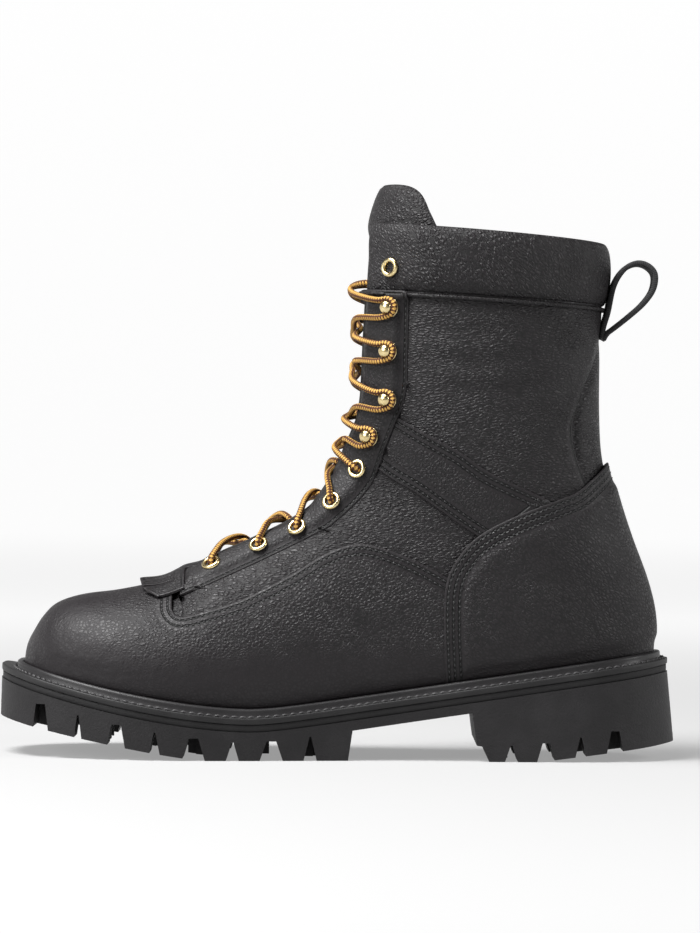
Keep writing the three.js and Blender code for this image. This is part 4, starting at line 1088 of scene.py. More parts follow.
@dataclass
class Finishes:
    """Every material of the boot."""

    def __post_init__(self) -> None:
        """Makes the materials."""
        self.shaft = LeatherFinish("shaft_leather", stretch=(.5, .6, 1.15), cell=1.4, grain=.4,
                                   rows=(2.2,)).material()
        self.vamp = LeatherFinish("vamp_leather", stretch=(.9, 1, 1.1), cell=1.75, grain=.34, toe_grain=.25,
                                  low_grain=.2, rows=(2.0, 4.9)).material()
        self.counter = LeatherFinish("counter_leather", stretch=(.65, .8, 1.1), turn=-35.0, cell=1.6, grain=.26, low_grain=.3,
                                     rows=(1.9, 4.6, 7.3)).material()
        self.facing = LeatherFinish("facing_leather", cell=1.7, grain=.14, roughness=.48, rows=(1.5,)).material()
        self.strap = LeatherFinish("strap_leather", cell=1.6, grain=.26, rows=(2.1, 5.0)).material()
        self.collar = LeatherFinish("collar_leather", stretch=(.5, .8, 1.15), turn=-52.0, cell=1.5,
                                    grain=.4).material()
        self.tongue = LeatherFinish("tongue_leather", stretch=(.8, .8, 1.1), cell=1.7, grain=.45).material()
        self.lining = PlainFinish("lining", (.03, .026, .024), (.045, .04, .036), .85, 2.5, .12, .2).material()
        self.thread = PlainFinish("thread", (.014, .0133, .014), (.026, .025, .026), .5, 4.0, .06, .45).material()
        # The welt cord is the same black thread made lighter: painted sheen standing in for the glints on the welt
        # stitches.
        self.cord = PlainFinish("welt_cord", (.03, .0285, .03), (.05, .048, .05), .5, 3.0, .1, .45).material()
        self.welt = PlainFinish("welt_rubber", (.011, .0105, .011), (.018, .0175, .018), .55, 1.0, .1).material()
        self.bead = PlainFinish("welt_bead", (.016, .015, .016), (.022, .021, .022), .45, 1.5, .08).material()
        self.midsole = PlainFinish("midsole_rubber", (.008, .0075, .008), (.012, .0115, .012), .7, 1.0, .16).material()
        self.rubber = PlainFinish("sole_rubber", (.0078, .007, .0078), (.0125, .0115, .0125), .6, .9, .22).material()
        self.insole = PlainFinish("insole_cloth", (.028, .026, .025), (.04, .037, .035), .9, 2.0, .12, .2).material()
        self.brass = BrassFinish().material()
        self.lace = LaceFinish().material()
        self.tape = WeaveFinish("pull_tape", (.02, .02, .021), (.06, .06, .062)).material()


def sweep(rings: Array, loop: bool = False, runs: Optional[Array] = None) -> bmesh.types.BMesh:
    """A closed surface through rings of points.

    Args:
        rings: Rings of the same number of points, which close on themselves.
        loop: Whether the last ring joins the first. Otherwise the ends are filled.
        runs: Length from the start at each ring, for a UV map that runs along and round.

    Returns:
        The surface.
    """
    count, around = rings.shape[:2]
    rows = count if loop else count - 1
    bm, places = grid(around, rows)
    i = np.rint(places[:, 1] * rows).astype(int)
    j = np.rint(places[:, 0] * around).astype(int)
    place(bm, rings[i % count, j % around])
    if runs is not None:
        layer = bm.loops.layers.uv.new("run")
        bm.verts.index_update()
        for face in bm.faces:
            for corner in face.loops:
                k = corner.vert.index
                corner[layer].uv = (runs[i[k]], j[k] / around)
    bmesh.ops.remove_doubles(bm, verts=bm.verts[:], dist=0.01 * METRES)
    open_edges = [edge for edge in bm.edges if edge.is_boundary]
    if open_edges:
        bmesh.ops.holes_fill(bm, edges=open_edges, sides=0)
    bmesh.ops.recalc_face_normals(bm, faces=bm.faces[:])
    return bm


def tube(path: Array, radius: float, sides: int, up: Optional[Array] = None,
         squash: float = 1.0) -> tuple[Array, Array]:
    """Rings of a round cord along a path.

    Args:
        path: The path's places.
        radius: Radius of the cord.
        sides: Points round it.
        up: Direction of the cord's flatter way at each place.
        squash: Height of the cord as a share of its width.

    Returns:
        The rings, and the length from the start at each.
    """
    ahead = np.gradient(path, axis=0)
    ahead /= np.linalg.norm(ahead, axis=1, keepdims=True) + 1e-9
    side = np.zeros_like(ahead)
    first = np.cross(ahead[0], up[0] if up is not None else (0.0, 0.0, 1.0))
    for k, way in enumerate(ahead):
        guess = first if k == 0 else side[k - 1]
        guess = guess - way * guess.dot(way)
        side[k] = guess / (np.linalg.norm(guess) + 1e-9)
    if up is not None:
        side = np.cross(ahead, up)
        side /= np.linalg.norm(side, axis=1, keepdims=True) + 1e-9
    top = np.cross(side, ahead)
    angle = np.arange(sides) / sides * 2.0 * math.pi
    rings = (path[:, None, :] + radius * np.cos(angle)[None, :, None] * side[:, None, :]
             + radius * squash * np.sin(angle)[None, :, None] * top[:, None, :])
    steps = np.linalg.norm(np.diff(path, axis=0), axis=1)
    return rings, np.concatenate([[0.0], np.cumsum(steps)])


@dataclass
class Upper:
    """Leather pieces of the upper, from the lining out."""

    finishes: Finishes
    backstay: float = -0.9
    quarter: float = 0.1
    vamp: float = 1.45
    strap: float = 1.35
    counter: float = 1.75
    counter_bulge: float = 1.1
    facing: float = 3.0
    inside: float = -2.8
    under: float = -0.35
    thread: Thread = field(default_factory=Thread)

    def build(self) -> None:
        """Builds every leather piece and its seams."""
        self.shell()
        for side in Side:
            self.quarter_of(side)
            self.strap_of(side)
            self.facing_of(side)
        self.vamp_piece()
        self.counter_piece()
        self.seams()

    def shell(self) -> None:
        """Lining and the strip up the back, in one wall."""
        region = inside_all(pattern.throat, pattern.sole, pattern.over(27.25))
        Leather("upper_shell", region, (-1.0, 27.6), (-0.5, 0.5), lambda p, e: self.backstay + 0 * e,
                self.backstay - self.inside, pitch=2.3).build(
            [self.finishes.shaft, self.finishes.lining], "leather", ["upper"])

    def quarter_of(self, side: Side) -> None:
        """Side panel from the throat to the strip up the back."""
        vamp, counter = pattern.vamp(), pattern.counter()
        region = inside_all(outside(pattern.backstay()), pattern.throat, pattern.sole, pattern.over(27.2),
                            lambda p, t, v: -vamp(p, t, v) - 9.0, lambda p, t, v: -counter(p, t, v) - 9.0)
        shares = (0.0, 0.5) if side is Side.OUTER else (0.5, 1.0)
        Leather(f"quarter_{side.word}", region, (8.0, 27.6), shares,
                lambda p, e: self.quarter + 0.35 * smooth(e, 5.0, 16.0), self.quarter - self.under,
                pitch=1.7).build([self.finishes.shaft], "leather")

    def strap_of(self, side: Side) -> None:
        """Ankle strap between the facing and the counter."""
        facing, counter = pattern.facing(), pattern.counter()
        region = inside_all(pattern.strap(), lambda p, t, v: -facing(p, t, v) - 6.0,
                            lambda p, t, v: -counter(p, t, v) - 6.0, pattern.throat)
        shares = (0.02, 0.5) if side is Side.OUTER else (0.5, 0.98)
        Leather(f"strap_{side.word}", region, (13.0, 26.0), shares,
                lambda p, e: self.strap + 0.3 * smooth(e, 5.5, 10.0), self.strap - self.under,
                pitch=1.4).build([self.finishes.strap], "leather", [f"ankle_strap_{side.word}"])

    def facing_of(self, side: Side) -> None:
        """Facing that carries the fittings."""
        region = inside_all(pattern.facing(), pattern.throat, pattern.over(27.0))
        shares = (0.2, 0.5) if side is Side.OUTER else (0.5, 0.8)
        Leather(f"facing_{side.word}", region, (6.8, 27.4), shares,
                self.facing_height, self.facing - self.under, pitch=1.3, ring=0.6, rounding=0.3).build(
            [self.finishes.facing], "smooth_leather", [f"eyestay_{side.word}"])

    def facing_height(self, p: Array, e: Array) -> Array:
        """Height of a facing, which is stitched down at its rim and doubled at its toe end.

        Args:
            p: Places on the last.
            e: Distance inside the facing's edge.

        Returns:
            Height over the last.
        """
        vamp, strap = pattern.vamp(), pattern.strap()
        x, z = p[..., 0], p[..., 2]
        over = np.maximum(smooth(-vamp.distance(x, z), -4.0, 2.0), smooth(-strap.distance(x, z), -4.0, 2.0))
        rim = 0.85 + 1.3 * over
        top = z > last.z(1.7)
        rim = np.where(top, self.facing, rim)
        front = smooth(x - last.x(pattern.facing_front), 7.4, 5.6)
        return rim + (self.facing - rim) * smooth(e, 1.2, 7.5) + 0.9 * front

    def vamp_piece(self) -> None:
        """Vamp over the toe and the ball."""
        region = inside_all(pattern.vamp(), pattern.sole)
        Leather("vamp", region, (-1.0, 18.0), (0.0, 1.0),
                lambda p, e: self.vamp + 0.35 * smooth(e, 8.0, 16.0), self.vamp - self.under,
                pitch=1.6, seam=pattern.vamp()).build([self.finishes.vamp], "leather")

    def counter_piece(self) -> None:
        """Heel counter, which swells over its stiffener."""
        region = inside_all(pattern.counter(), pattern.sole)
        Leather("heel_counter_leather", region, (13.0, 24.6), (-0.42, 0.42),
                lambda p, e: self.counter + self.counter_bulge * smooth(e, 7.6, 12.5), self.counter - self.under,
                pitch=1.6, seam=pattern.counter()).build([self.finishes.counter], "smooth_leather", ["heel_counter"])

    def seams(self) -> None:
        """Stitches along every seam of the upper."""
        p = pattern
        above = lambda c: c[:, 2] > heights.edge(c[:, 0]) + 1.0
        vamp, counter, strap, facing = p.vamp(), p.counter(), p.strap(), p.facing()
        lines = []
        for side in Side:
            lines += [seam_line(vamp, p.vamp_seam, side, row, self.vamp - 0.05) for row in (2.0, 4.9)]
            lines += [seam_line(counter, p.counter_edge, side, row, self.counter - 0.05) for row in (1.9, 4.6, 7.3)]
        self.thread.sew(lines, "seam_threads", self.finishes.thread, keep=above)
        lines = []
        clear = lambda c: ((counter.distance(c[:, 0], c[:, 2]) > 0.5) & (facing.distance(c[:, 0], c[:, 2]) > 0.5))
        for side in Side:
            for edge in (p.strap_upper, p.strap_lower):
                lines += [seam_line(strap, edge, side, row, self.strap - 0.05) for row in (2.1, 5.0)]
        self.thread.sew(lines, "strap_threads", self.finishes.thread, keep=clear)
        lines = [seam_line(facing, p.facing_rear, side, 1.5, 0.0) for side in Side]
        lines = [(at + way * (self.facing_height(at, np.full(len(at), 1.5)) - 0.1)[:, None], way)
                 for at, way in lines]
        self.thread.sew(lines, "facing_threads", self.finishes.thread, "smooth_leather",
                        keep=lambda c: c[:, 2] < last.collar_height - 36.0)


@dataclass
class Collar:
    """Padded cuff round the top."""

    finishes: Finishes
    out: float = 3.4
    inside: float = 4.2
    piping: float = 0.95
    around: int = 260
    profile: tuple = ((0, .25), (.14, .8), (.5, 1), (.85, .8), (1, .15), (.97, -.6), (.75, -1), (.35, -.95),
                      (0, -.75), (-.02, -.2))

    def build(self) -> None:
        """Builds the cuff."""
        open_half = math.asin(pattern.throat_half(np.array(29.0)) / (0.422 * last.ball_width)) * 1.02
        loop = curve_through(self.profile + self.profile[:1], 44)[:-1]
        share0 = last.share(np.array([29.0]), np.array([math.pi + open_half]))[0]
        shares = np.linspace(share0, 2.0 - share0, self.around + 1)
        length = np.linalg.norm(np.diff(last.bare(np.full(len(shares), 28.0), shares), axis=0), axis=1).sum()
        rings = []
        for k, share in enumerate(shares):
            end = min(k, self.around - k) * length / self.around
            full = float(smooth(np.array(end), 0.0, 48.0))
            out, inside = self.out * (0.42 + 0.58 * full), self.inside * (0.7 + 0.3 * full)
            rise, depth = loop[:, 0], loop[:, 1]
            if end < 3.0:
                pinch = math.sqrt(1.0 - (1.0 - end / 3.0) ** 2) * 0.9 + 0.1
                rise, depth = 0.5 + (rise - 0.5) * (0.93 + 0.07 * pinch), depth * pinch
            station = 27.0 + 2.0 * rise
            offset = np.where(depth > 0, depth * out, depth * inside)
            bare = last.bare(station, np.full(len(station), share))
            offset = offset + pattern.relief(bare) * np.clip(depth, 0.0, 1.0)
            ring = last.skin(station, np.full(len(station), share), offset)
            ring[:, 2] += 0.3 * (1.0 - rise)
            rings.append(ring)
        bm = sweep(np.array(rings))
        ends = np.minimum(np.arange(self.around + 1), self.around - np.arange(self.around + 1)) * length / self.around
        height = self.piping + 2.6 * (1.0 - smooth(ends, 12.0, 19.0))
        cord, _ = tube(last.skin(np.full(len(shares), 26.9), shares, height), self.piping, 8)
        part = sweep(cord)
        mesh = bpy.data.meshes.new("piping")
        part.to_mesh(mesh)
        part.free()
        bm.from_mesh(mesh)
        bpy.data.meshes.remove(mesh)
        piece = add_piece(bm, "collar_pad", [self.finishes.collar], ["collar"])


@dataclass
class Tongue:
    """Padded tongue with a round top and a thin rolled edge."""

    finishes: Finishes
    thickness: float = 3.6
    inset: float = 4.6
    sunk: float = 6.6
    top_inset: float = 5.7
    lean: float = 5.6
    across: int = 60
    along: int = 170

    def build(self) -> None:
        """Builds the pad."""
        rings = []
        for k in range(self.along + 1):
            rise = k / self.along
            u = np.linspace(-1.0, 1.0, self.across + 1)
            top = 29.95 - 1.35 * np.abs(u) ** 6
            station = 8.7 + (top - 8.7) * rise
            spread = 0.62 + 0.2 * min(rise / 0.5, 1.0) + 0.43 * float(smooth(np.array(rise), 0.5, 1.0))
            angle = math.pi - u * spread
            share = last.share(station, angle)
            low, high = smooth(station, 8.7, 11.0), smooth(station, 25.0, 27.5)
            inset = self.inset + (self.sunk - self.inset) * low + (self.top_inset - self.sunk) * high
            edge = 1.0 - 0.55 * np.abs(u) ** 6
            swell = 0.35 * np.exp(-((np.abs(u) - 0.93) / 0.045) ** 2) * high
            tip = math.sqrt(max(0.0, 1.0 - max(0.0, (rise - 0.985) / 0.015) ** 2)) * 0.75 + 0.25
            middle = inset + self.thickness * edge / 2
            front = middle - self.thickness * edge / 2 * tip - swell
            back = middle + self.thickness * edge / 2 * tip
            forward = np.outer(smooth(station, 28.3, 29.9), (-self.lean, 0.0, 0.0))
            face = last.skin(station, share, -front) + forward
            rear = last.skin(station, share, -back) + forward
            rings.append(np.vstack([face, rear[::-1]]))
        piece = add_piece(sweep(np.array(rings)), "tongue_pad", [self.finishes.tongue], ["tongue"])


@dataclass
class Kiltie:
    """Fringed flap over the toe end of the throat."""

    finishes: Finishes
    outline: tuple = ((.786, .29), (.81, .2), (.815, .1), (.815, 0), (.812, -.12), (.806, -.22), (.784, -.3))
    cuts: int = 6
    cut_root: float = 0.762
    height: float = 2.2
    thickness: float = 1.5
    tip_lift: float = 1.2

    def build(self) -> None:
        """Builds the flap with its fringe."""
        edge = np.asarray(self.outline)
        fringe = curve_through(np.stack([last.x(edge[:, 0]), edge[:, 1] * last.ball_width], 1), 40)
        rear, neck = float(last.x(0.712)), float(last.x(pattern.facing_front)) + 2.6
        middle = float(last.section(np.array(8.0))[5] * last.ball_width)
        narrow = pattern.foot_half_gap - 0.9
        corners = [(neck, fringe[-1][1]), (neck, middle - narrow), (rear, middle - narrow),
                   (rear, middle + narrow), (neck, middle + narrow), (neck, fringe[0][1])]
        body = Outline(np.vstack([fringe, corners]))
        tip, root = float(last.x(0.835)), float(last.x(self.cut_root))
        pitch = 0.56 * last.ball_width / (self.cuts + 1)
        slits = []
        for k in range(self.cuts):
            y = (k - (self.cuts - 1) / 2) * pitch
            slits.append(Outline(np.array([(tip, y * 1.06 - 1.0), (root, y - 0.22), (root, y + 0.22),
                                           (tip, y * 1.06 + 1.0)])))

        def region(p: Array, t: Array, v: Array) -> Array:
            """Distance outside the flap in the top view."""
            x, y = p[..., 0], p[..., 1]
            value = np.maximum(body.distance(x, y), 12.0 * (0.22 - np.abs(0.5 - np.mod(v, 1.0))) * -1.0)
            for slit in slits:
                value = np.maximum(value, -slit.distance(x, y))
            return value

        def height(p: Array, e: Array) -> Array:
            """Height over the last, with the fringe a little raised."""
            out = smooth(-p[..., 0], -root, -float(last.x(0.815)))
            wave = 0.35 * np.sin(p[..., 1] * 0.9 + 0.6) * out
            under = 3.4 * smooth(p[..., 0], neck - 1.5, rear - 1.0)
            return self.height + self.thickness - 0.7 * (1.0 - out) + self.tip_lift * out ** 2 + wave - under

        Leather("kiltie_flap", region, (4.6, 9.6), (0.27, 0.73), height, self.thickness, pitch=0.75, ring=0.25,
                rounding=0.15).build([self.finishes.vamp], "leather", ["kiltie"])


@dataclass
class PullLoop:
    """Folded tape behind the collar."""

    finishes: Finishes
    width: float = 19.0
    thickness: float = 2.4
    reach: float = 25.0
    rise: float = 35.0
    swing: float = 0.2
    route: tuple = ((-.05, -.06), (-.01, .1), (.07, .3), (.17, .64), (.35, .86), (.58, .95), (.79, .92), (.93, .8),
                    (.9, .6), (.72, .41), (.46, .24), (.22, .1), (.06, .01), (-.01, -.07))

    def build(self) -> None:
        """Builds the tape."""
        root = last.point(np.array([last.seam_station - 0.55]), np.array([0.0]))[0]
        shares = curve_through(self.route, 90)
        path = np.stack([root[0] + 0.68 + shares[:, 0] * self.reach, np.zeros(len(shares)),
                         root[2] + shares[:, 1] * self.rise], 1)
        ahead = np.gradient(path, axis=0)
        ahead /= np.linalg.norm(ahead, axis=1, keepdims=True)
        out = np.cross(ahead, (0.0, 1.0, 0.0))
        half, deep = self.width / 2, self.thickness / 2
        corner = 0.5
        shape = [(-half, -deep + corner), (-half + corner, -deep), (0.0, -deep), (half - corner, -deep),
                 (half, -deep + corner), (half, deep - corner), (half - corner, deep), (0.0, deep),
                 (-half + corner, deep), (-half, deep - corner)]
        rings = np.array([[c + np.array((0.0, y, 0.0)) + n * d for y, d in shape] for c, n in zip(path, out)])
        away = rings[..., 0] - root[0]
        rings[..., 1] -= np.clip(away, 0.0, None) * math.sin(self.swing)
        steps = np.linalg.norm(np.diff(path, axis=0), axis=1)
        runs = np.concatenate([[0.0], np.cumsum(steps)])
        bm = sweep(rings, runs=runs)
        layer = bm.loops.layers.uv["run"]
        for face in bm.faces:
            for corner_ in face.loops:
                corner_[layer].uv[1] = corner_.vert.co.y / METRES
        add_piece(bm, "pull_tape", [self.finishes.tape], ["pull_loop"], sharp=50.0)


@dataclass
class SoleEdge:
    """The upper's edge seen from above, as an even closed outline with outward normals."""

    offset: float = 1.6
    count: int = 240

    def outline(self, offset: float, height: Callable[[Array], Array], count: int) -> tuple[Array, Array]:
        """Outline where the last, with an offset, reaches a height.

        Args:
            offset: Height above the last.
            height: Height over the floor at an x.
            count: Number of places.

        Returns:
            Places in x and y, from the heel over the outer side, and outward normals.
        """
        stations = np.arange(last.low_station + 1, dtype=float)

        def search(t: Array, low: Array, high: Array, by_angle: bool) -> Array:
            """Place where the height is reached, between two angles or two stations."""
            for _ in range(32):
                middle = (low + high) / 2
                a, s = (middle, t) if by_angle else (np.zeros_like(middle), middle)
                share = last.share(s, a)
                at = last.skin(s, share, offset)
                reached = at[:, 2] >= height(at[:, 0])
                high, low = np.where(reached, middle, high), np.where(reached, low, middle)
            return at

        zeros, quarter = np.zeros(len(stations)), np.full(len(stations), math.pi / 2)
        outer = search(stations, zeros, quarter, True)
        shift = last.section(stations)[:, 5] * last.ball_width
        inner = outer * [1, -1, 1] + np.stack([zeros, 2 * shift, zeros], 1)
        back = search(np.zeros(1), np.array([16.0]), np.array([20.0]), False)
        front = np.array([[last.x(last.rows[0, 0]) - offset, shift[0], 0.0]])
        known = np.vstack([back, outer[::-1], front, inner])[:, :2]
        curve = self.rounded(known, 24)
        steps = np.linalg.norm(np.diff(np.vstack([curve, curve[:1]]), axis=0), axis=1)
        run = np.concatenate([[0.0], np.cumsum(steps)])
        at = np.linspace(0.0, run[-1], count + 1)[:-1]
        even = along_path(run, np.vstack([curve, curve[:1]]), at)
        way = np.roll(even, -1, axis=0) - np.roll(even, 1, axis=0)
        normal = np.stack([-way[:, 1], way[:, 0]], 1)
        return even, normal / np.linalg.norm(normal, axis=1, keepdims=True)

    def rounded(self, known: Array, count: int) -> Array:
        """Closed centripetal Catmull-Rom curve through places."""
        made = []
        for k in range(len(known)):
            a, b, c, d = (known[(k + i) % len(known)] for i in (-1, 0, 1, 2))
            ta, tb, tc = (max(np.linalg.norm(q - p), 1e-6) ** 0.5 for p, q in ((a, b), (b, c), (c, d)))
            m1 = ((b - a) / ta - (c - a) / (ta + tb) + (c - b) / tb) * tb
            m2 = ((c - b) / tb - (d - b) / (tb + tc) + (d - c) / tc) * tb
            s = (np.arange(count) / count)[:, None]
            made.append(b + m1 * s + (3 * (c - b) - 2 * m1 - m2) * s ** 2 + (2 * (b - c) + m1 + m2) * s ** 3)
        return np.vstack(made)

    def rim(self, places: Array, normals: Array, extra: Array = 0.0) -> Array:
        """Places of the sole's edge beside an outline."""
        front, back = np.maximum(0, -normals[:, 0]) ** 2, np.maximum(0, normals[:, 0]) ** 2
        out = 7.0 + 3.4 * front - 0.4 * back + extra
        return places + normals * np.reshape(out, (-1, 1))


@dataclass
class Sole:
    """Welt, midsole, outsole and insole."""

    finishes: Finishes
    edge: SoleEdge = field(default_factory=SoleEdge)
    lip: float = 3.0
    bead_width: float = 3.1
    tread_pitch: float = 35.5
    wide: float = 10.5
    narrow: float = 6.0
    taper: float = 0.42
    rim_depth: float = 21.0
    lug: float = 13.0
    heel_length: float = 92.6
    heel_bevel: float = 0.13
    heel_flare: float = 4.0
    front_along: float = 0.71
    rear_along: float = 0.485
    tread_power: float = 1.2
    toe_rise: float = 17.5
    breast_slope: float = 6.0
    bevel_along: float = 0.185
    reach: float = 400.0

    def build(self) -> None:
        """Builds the layers from the insole down."""
        self.places, self.normals = self.edge.outline(self.edge.offset, heights.edge, self.edge.count)
        self.insole()
        self.welt()
        self.welt_thread()
        self.midsole()
        self.outsole()

    def ringed(self, rims: Sequence[Array], height: Sequence[Array]) -> Array:
        """Rings of a strip round the boot, from places and heights of its profile."""
        return np.stack([np.column_stack([r, h]) for r, h in zip(rims, height)], axis=1)

    def welt(self) -> None:
        """Welt with its raised inner roll."""
        top, under = heights.welt_top, heights.welt_under
        w, h = self.bead_width, heights.bead
        bead = [(0.05 + w / 2 - w / 2 * math.cos(a), h * 0.62 + h * 0.38 * math.sin(a))
                for a in np.linspace(0, math.pi, 11)]
        shape = [(-self.lip, 0.0), (0.0, 0.0)] + bead + [(0.1 + w, 0.25), (0.5 + w, 0.0)]
        rim = self.edge.rim(self.places, self.normals)
        corner = 0.55
        rims, levels = [], []
        for out, rise in shape:
            at = self.places + self.normals * out
            rims.append(at)
            levels.append(top(at[:, 0]) + rise)
        for inwards, drop in ((1.3, -0.12), (corner, 0.0), (corner * 0.3, -corner * 0.3), (0.0, -corner)):
            at = rim - self.normals * inwards
            rims.append(at)
            levels.append(top(rim[:, 0]) + drop)
        for inwards, lift in ((0.0, corner), (corner * 0.3, corner * 0.3), (corner, 0.0)):
            at = rim - self.normals * inwards
            rims.append(at)
            levels.append(under(rim[:, 0]) + lift)
        at = self.places - self.normals * self.lip
        rims.append(at)
        levels.append(under(at[:, 0]))
        bm = sweep(self.ringed(rims, levels), loop=True)
        for face in bm.faces:
            centre = face.calc_center_median()
            over = centre.z / METRES - float(top(np.array(centre.x / METRES)))
            face.material_index = 1 if over > 0.3 else 0
        add_piece(bm, "welt_ring", [self.finishes.welt, self.finishes.bead], ["welt"])

    def welt_thread(self) -> None:
        """Large stitches in the groove beside the bead."""
        closed = np.vstack([self.places, self.places[:1]])
        normals = np.vstack([self.normals, self.normals[:1]])
        at = closed + normals * (self.bead_width + 1.3)
        line = np.column_stack([at, heights.welt_top(at[:, 0]) + 0.35])
        up = np.tile([0.0, 0.0, 1.0], (len(line), 1))
        Thread(pitch=3.9, length=3.5, radius=0.8, sag=0.5).sew([(line, up)], "welt_threads", self.finishes.cord,
                                                              "welt")

    def midsole(self) -> None:
        """Dark band under the welt."""
        rim = self.edge.rim(self.places, self.normals, np.full(len(self.places), -0.5))
        levels = ((8.0, heights.midsole_top, 0.3), (0.3, heights.midsole_top, 0.3), (0.0, heights.midsole_top, 0.0),
                  (0.0, heights.midsole_under, 0.0), (0.3, heights.midsole_under, -0.3),
                  (8.0, heights.midsole_under, -0.3))
        rims, tops = [], []
        for inwards, height, lift in levels:
            at = rim - self.normals * inwards
            rims.append(at)
            tops.append(height(at[:, 0]) + lift)
        add_piece(sweep(self.ringed(rims, tops), loop=True), "midsole_band",
                  [self.finishes.midsole], ["midsole"])

    def insole(self) -> None:
        """Insole inside the upper."""
        places, _ = self.edge.outline(-(2.8 + 1.2), heights.welt_top, 160)
        half = len(places) // 2
        left, right = places[: half + 1], np.vstack([places[half:], places[:1]])[::-1]
        rings = []
        for a, b in zip(left, right):
            w = np.linspace(0.0, 1.0, 11)[:, None]
            line = a + (b - a) * w
            top = heights.welt_top(line[:, 0]) + 4.4 + 1.6 * (2 * w[:, 0] - 1) ** 6
            low = heights.welt_top(line[:, 0]) - 0.6
            rings.append(np.vstack([np.column_stack([line, top]), np.column_stack([line[::-1], low[::-1]])]))
        add_piece(sweep(np.array(rings)), "insole_board", [self.finishes.insole], ["insole"], sharp=40.0)

    def block(self) -> bmesh.types.BMesh:
        """Outsole before its tread is cut."""
        heel = last.along(self.places[:, 0]) < 0.3
        blend = smooth(self.places[:, 0], float(last.x(0.36)), float(last.x(0.28)))
        top = self.edge.rim(self.places, self.normals)
        low = self.edge.rim(self.places, self.normals, 0.8 + (self.heel_flare - 0.8) * np.where(heel, blend, blend))
        half = len(top) // 2
        order = [(k, (len(top) - k) % len(top)) for k in range(half + 1)]
        rings = []
        for a, b in order:
            rings.append([(*top[a], float(heights.outsole_top(top[a, 0]))), (*low[a], 0.0), (*low[b], 0.0),
                          (*top[b], float(heights.outsole_top(top[b, 0])))])
        bm = sweep(np.array(rings))
        bmesh.ops.remove_doubles(bm, verts=bm.verts[:], dist=0.05 * METRES)
        return bm

    def prism(self, bm: bmesh.types.BMesh, outline: Sequence[Sequence[float]], low: float, high: float,
              top_view: bool = False) -> None:
        """Adds a straight cutter to a mesh.

        Args:
            bm: The mesh.
            outline: Its outline, in x and z, or in x and y for the top view.
            low: Where it starts across the outline's plane.
            high: Where it ends.
            top_view: Whether the outline is seen from above.
        """
        def corner(a: float, b: float, c: float) -> Vector:
            """A corner in metres."""
            return Vector((a, b, c) if top_view else (a, c, b)) * METRES

        verts = [bm.verts.new(corner(a, b, low)) for a, b in outline]
        face = bm.faces.new(verts)
        made = bmesh.ops.extrude_face_region(bm, geom=[face])
        moved = [item for item in made["geom"] if isinstance(item, bmesh.types.BMVert)]
        way = Vector((0, 0, high - low)) if top_view else Vector((0, high - low, 0))
        bmesh.ops.translate(bm, vec=way * METRES, verts=moved)

    def groove(self, bm: bmesh.types.BMesh, x: float, width: float, top: float, height: float,
               side: Side) -> None:
        """Adds a cutter for one groove of the rim."""
        narrow = top * width
        outline = [(x - width / 2, -2.0), (x - width / 2, 0.0), (x - narrow / 2, height), (x + narrow / 2, height),
                   (x + width / 2, 0.0), (x + width / 2, -2.0)]
        inner = last.ball_width * 0.13
        self.prism(bm, outline, *((-self.reach, -inner) if side is Side.OUTER else (inner, self.reach)))

    def pocket(self, bm: bmesh.types.BMesh, from_along: float, to_along: float) -> None:
        """Adds a cutter for the space inside the rim's lugs."""
        at = self.places + self.normals * (7.0 - self.rim_depth)
        low, high = float(last.x(from_along)), float(last.x(to_along))
        inside = at[(at[:, 0] > low) & (at[:, 0] < high)]
        outer, inner = inside[inside[:, 1] < 0], inside[inside[:, 1] >= 0]
        outer, inner = outer[np.argsort(outer[:, 0])][::4], inner[np.argsort(-inner[:, 0])][::4]
        rings = []
        for a in outer:
            b = inner[np.argmin(np.abs(inner[:, 0] - a[0]))]
            z = float(heights.groove_top(a[0]))
            rings.append([(*a, z), (*a, -5.0), (a[0], b[1], -5.0), (a[0], b[1], z)])
        made = sweep(np.array(rings))
        mesh = bpy.data.meshes.new("pocket")
        made.to_mesh(mesh)
        made.free()
        bm.from_mesh(mesh)
        bpy.data.meshes.remove(mesh)

    def tread_line(self) -> list[tuple[float, float]]:
        """Side view of everything under the tread."""
        toe, front = float(last.x(1.0)) - 10.4, float(last.x(self.front_along))
        line = [(-self.reach, self.toe_rise)]
        for x in np.linspace(toe, front, 17):
            line.append((float(x), self.toe_rise * ((front - x) / (front - toe)) ** self.tread_power))
        rear, breast = float(last.x(self.rear_along)), last.heel_back + 6.6 - self.heel_length
        line.append((rear, 0.0))
        line += [(float(x), float(heights.groove_top(x))) for x in np.linspace(rear + 2.0, breast, 9)]
        height, slope = float(heights.groove_top(breast)), self.breast_slope
        line += [(breast + slope * 0.35, height * 0.33), (breast + slope * 0.8, height * 0.31),
                 (breast + slope * 1.3, 0.0)]
        bevel = float(last.x(self.bevel_along))
        line += [(bevel, 0.0), (bevel + self.reach, self.reach * self.heel_bevel), (bevel + self.reach, -self.reach),
                 (-self.reach, -self.reach)]
        return line

    def centre_lug(self, bm: bmesh.types.BMesh, x: float, y: float) -> None:
        """Adds a cross-shaped lug."""
        arm, half = self.lug / 2, self.lug * 0.21
        cross = [(-arm, -half), (-half, -half), (-half, -arm), (half, -arm), (half, -half), (arm, -half),
                 (arm, half), (half, half), (half, arm), (-half, arm), (-half, half), (-arm, half)]
        self.prism(bm, [(x + a, y + b) for a, b in cross], 0.0, float(heights.groove_top(x)) + 1.0, True)

    def cutter(self, fill: Callable[[bmesh.types.BMesh], None], name: str) -> bpy.types.Object:
        """A helper object that cuts the outsole or is joined to it."""
        bm = bmesh.new()
        fill(bm)
        bmesh.ops.recalc_face_normals(bm, faces=bm.faces[:])
        mesh = bpy.data.meshes.new(name)
        bm.to_mesh(mesh)
        bm.free()
        tool = bpy.data.objects.new(name, mesh)
        bpy.context.scene.collection.objects.link(tool)
        return tool

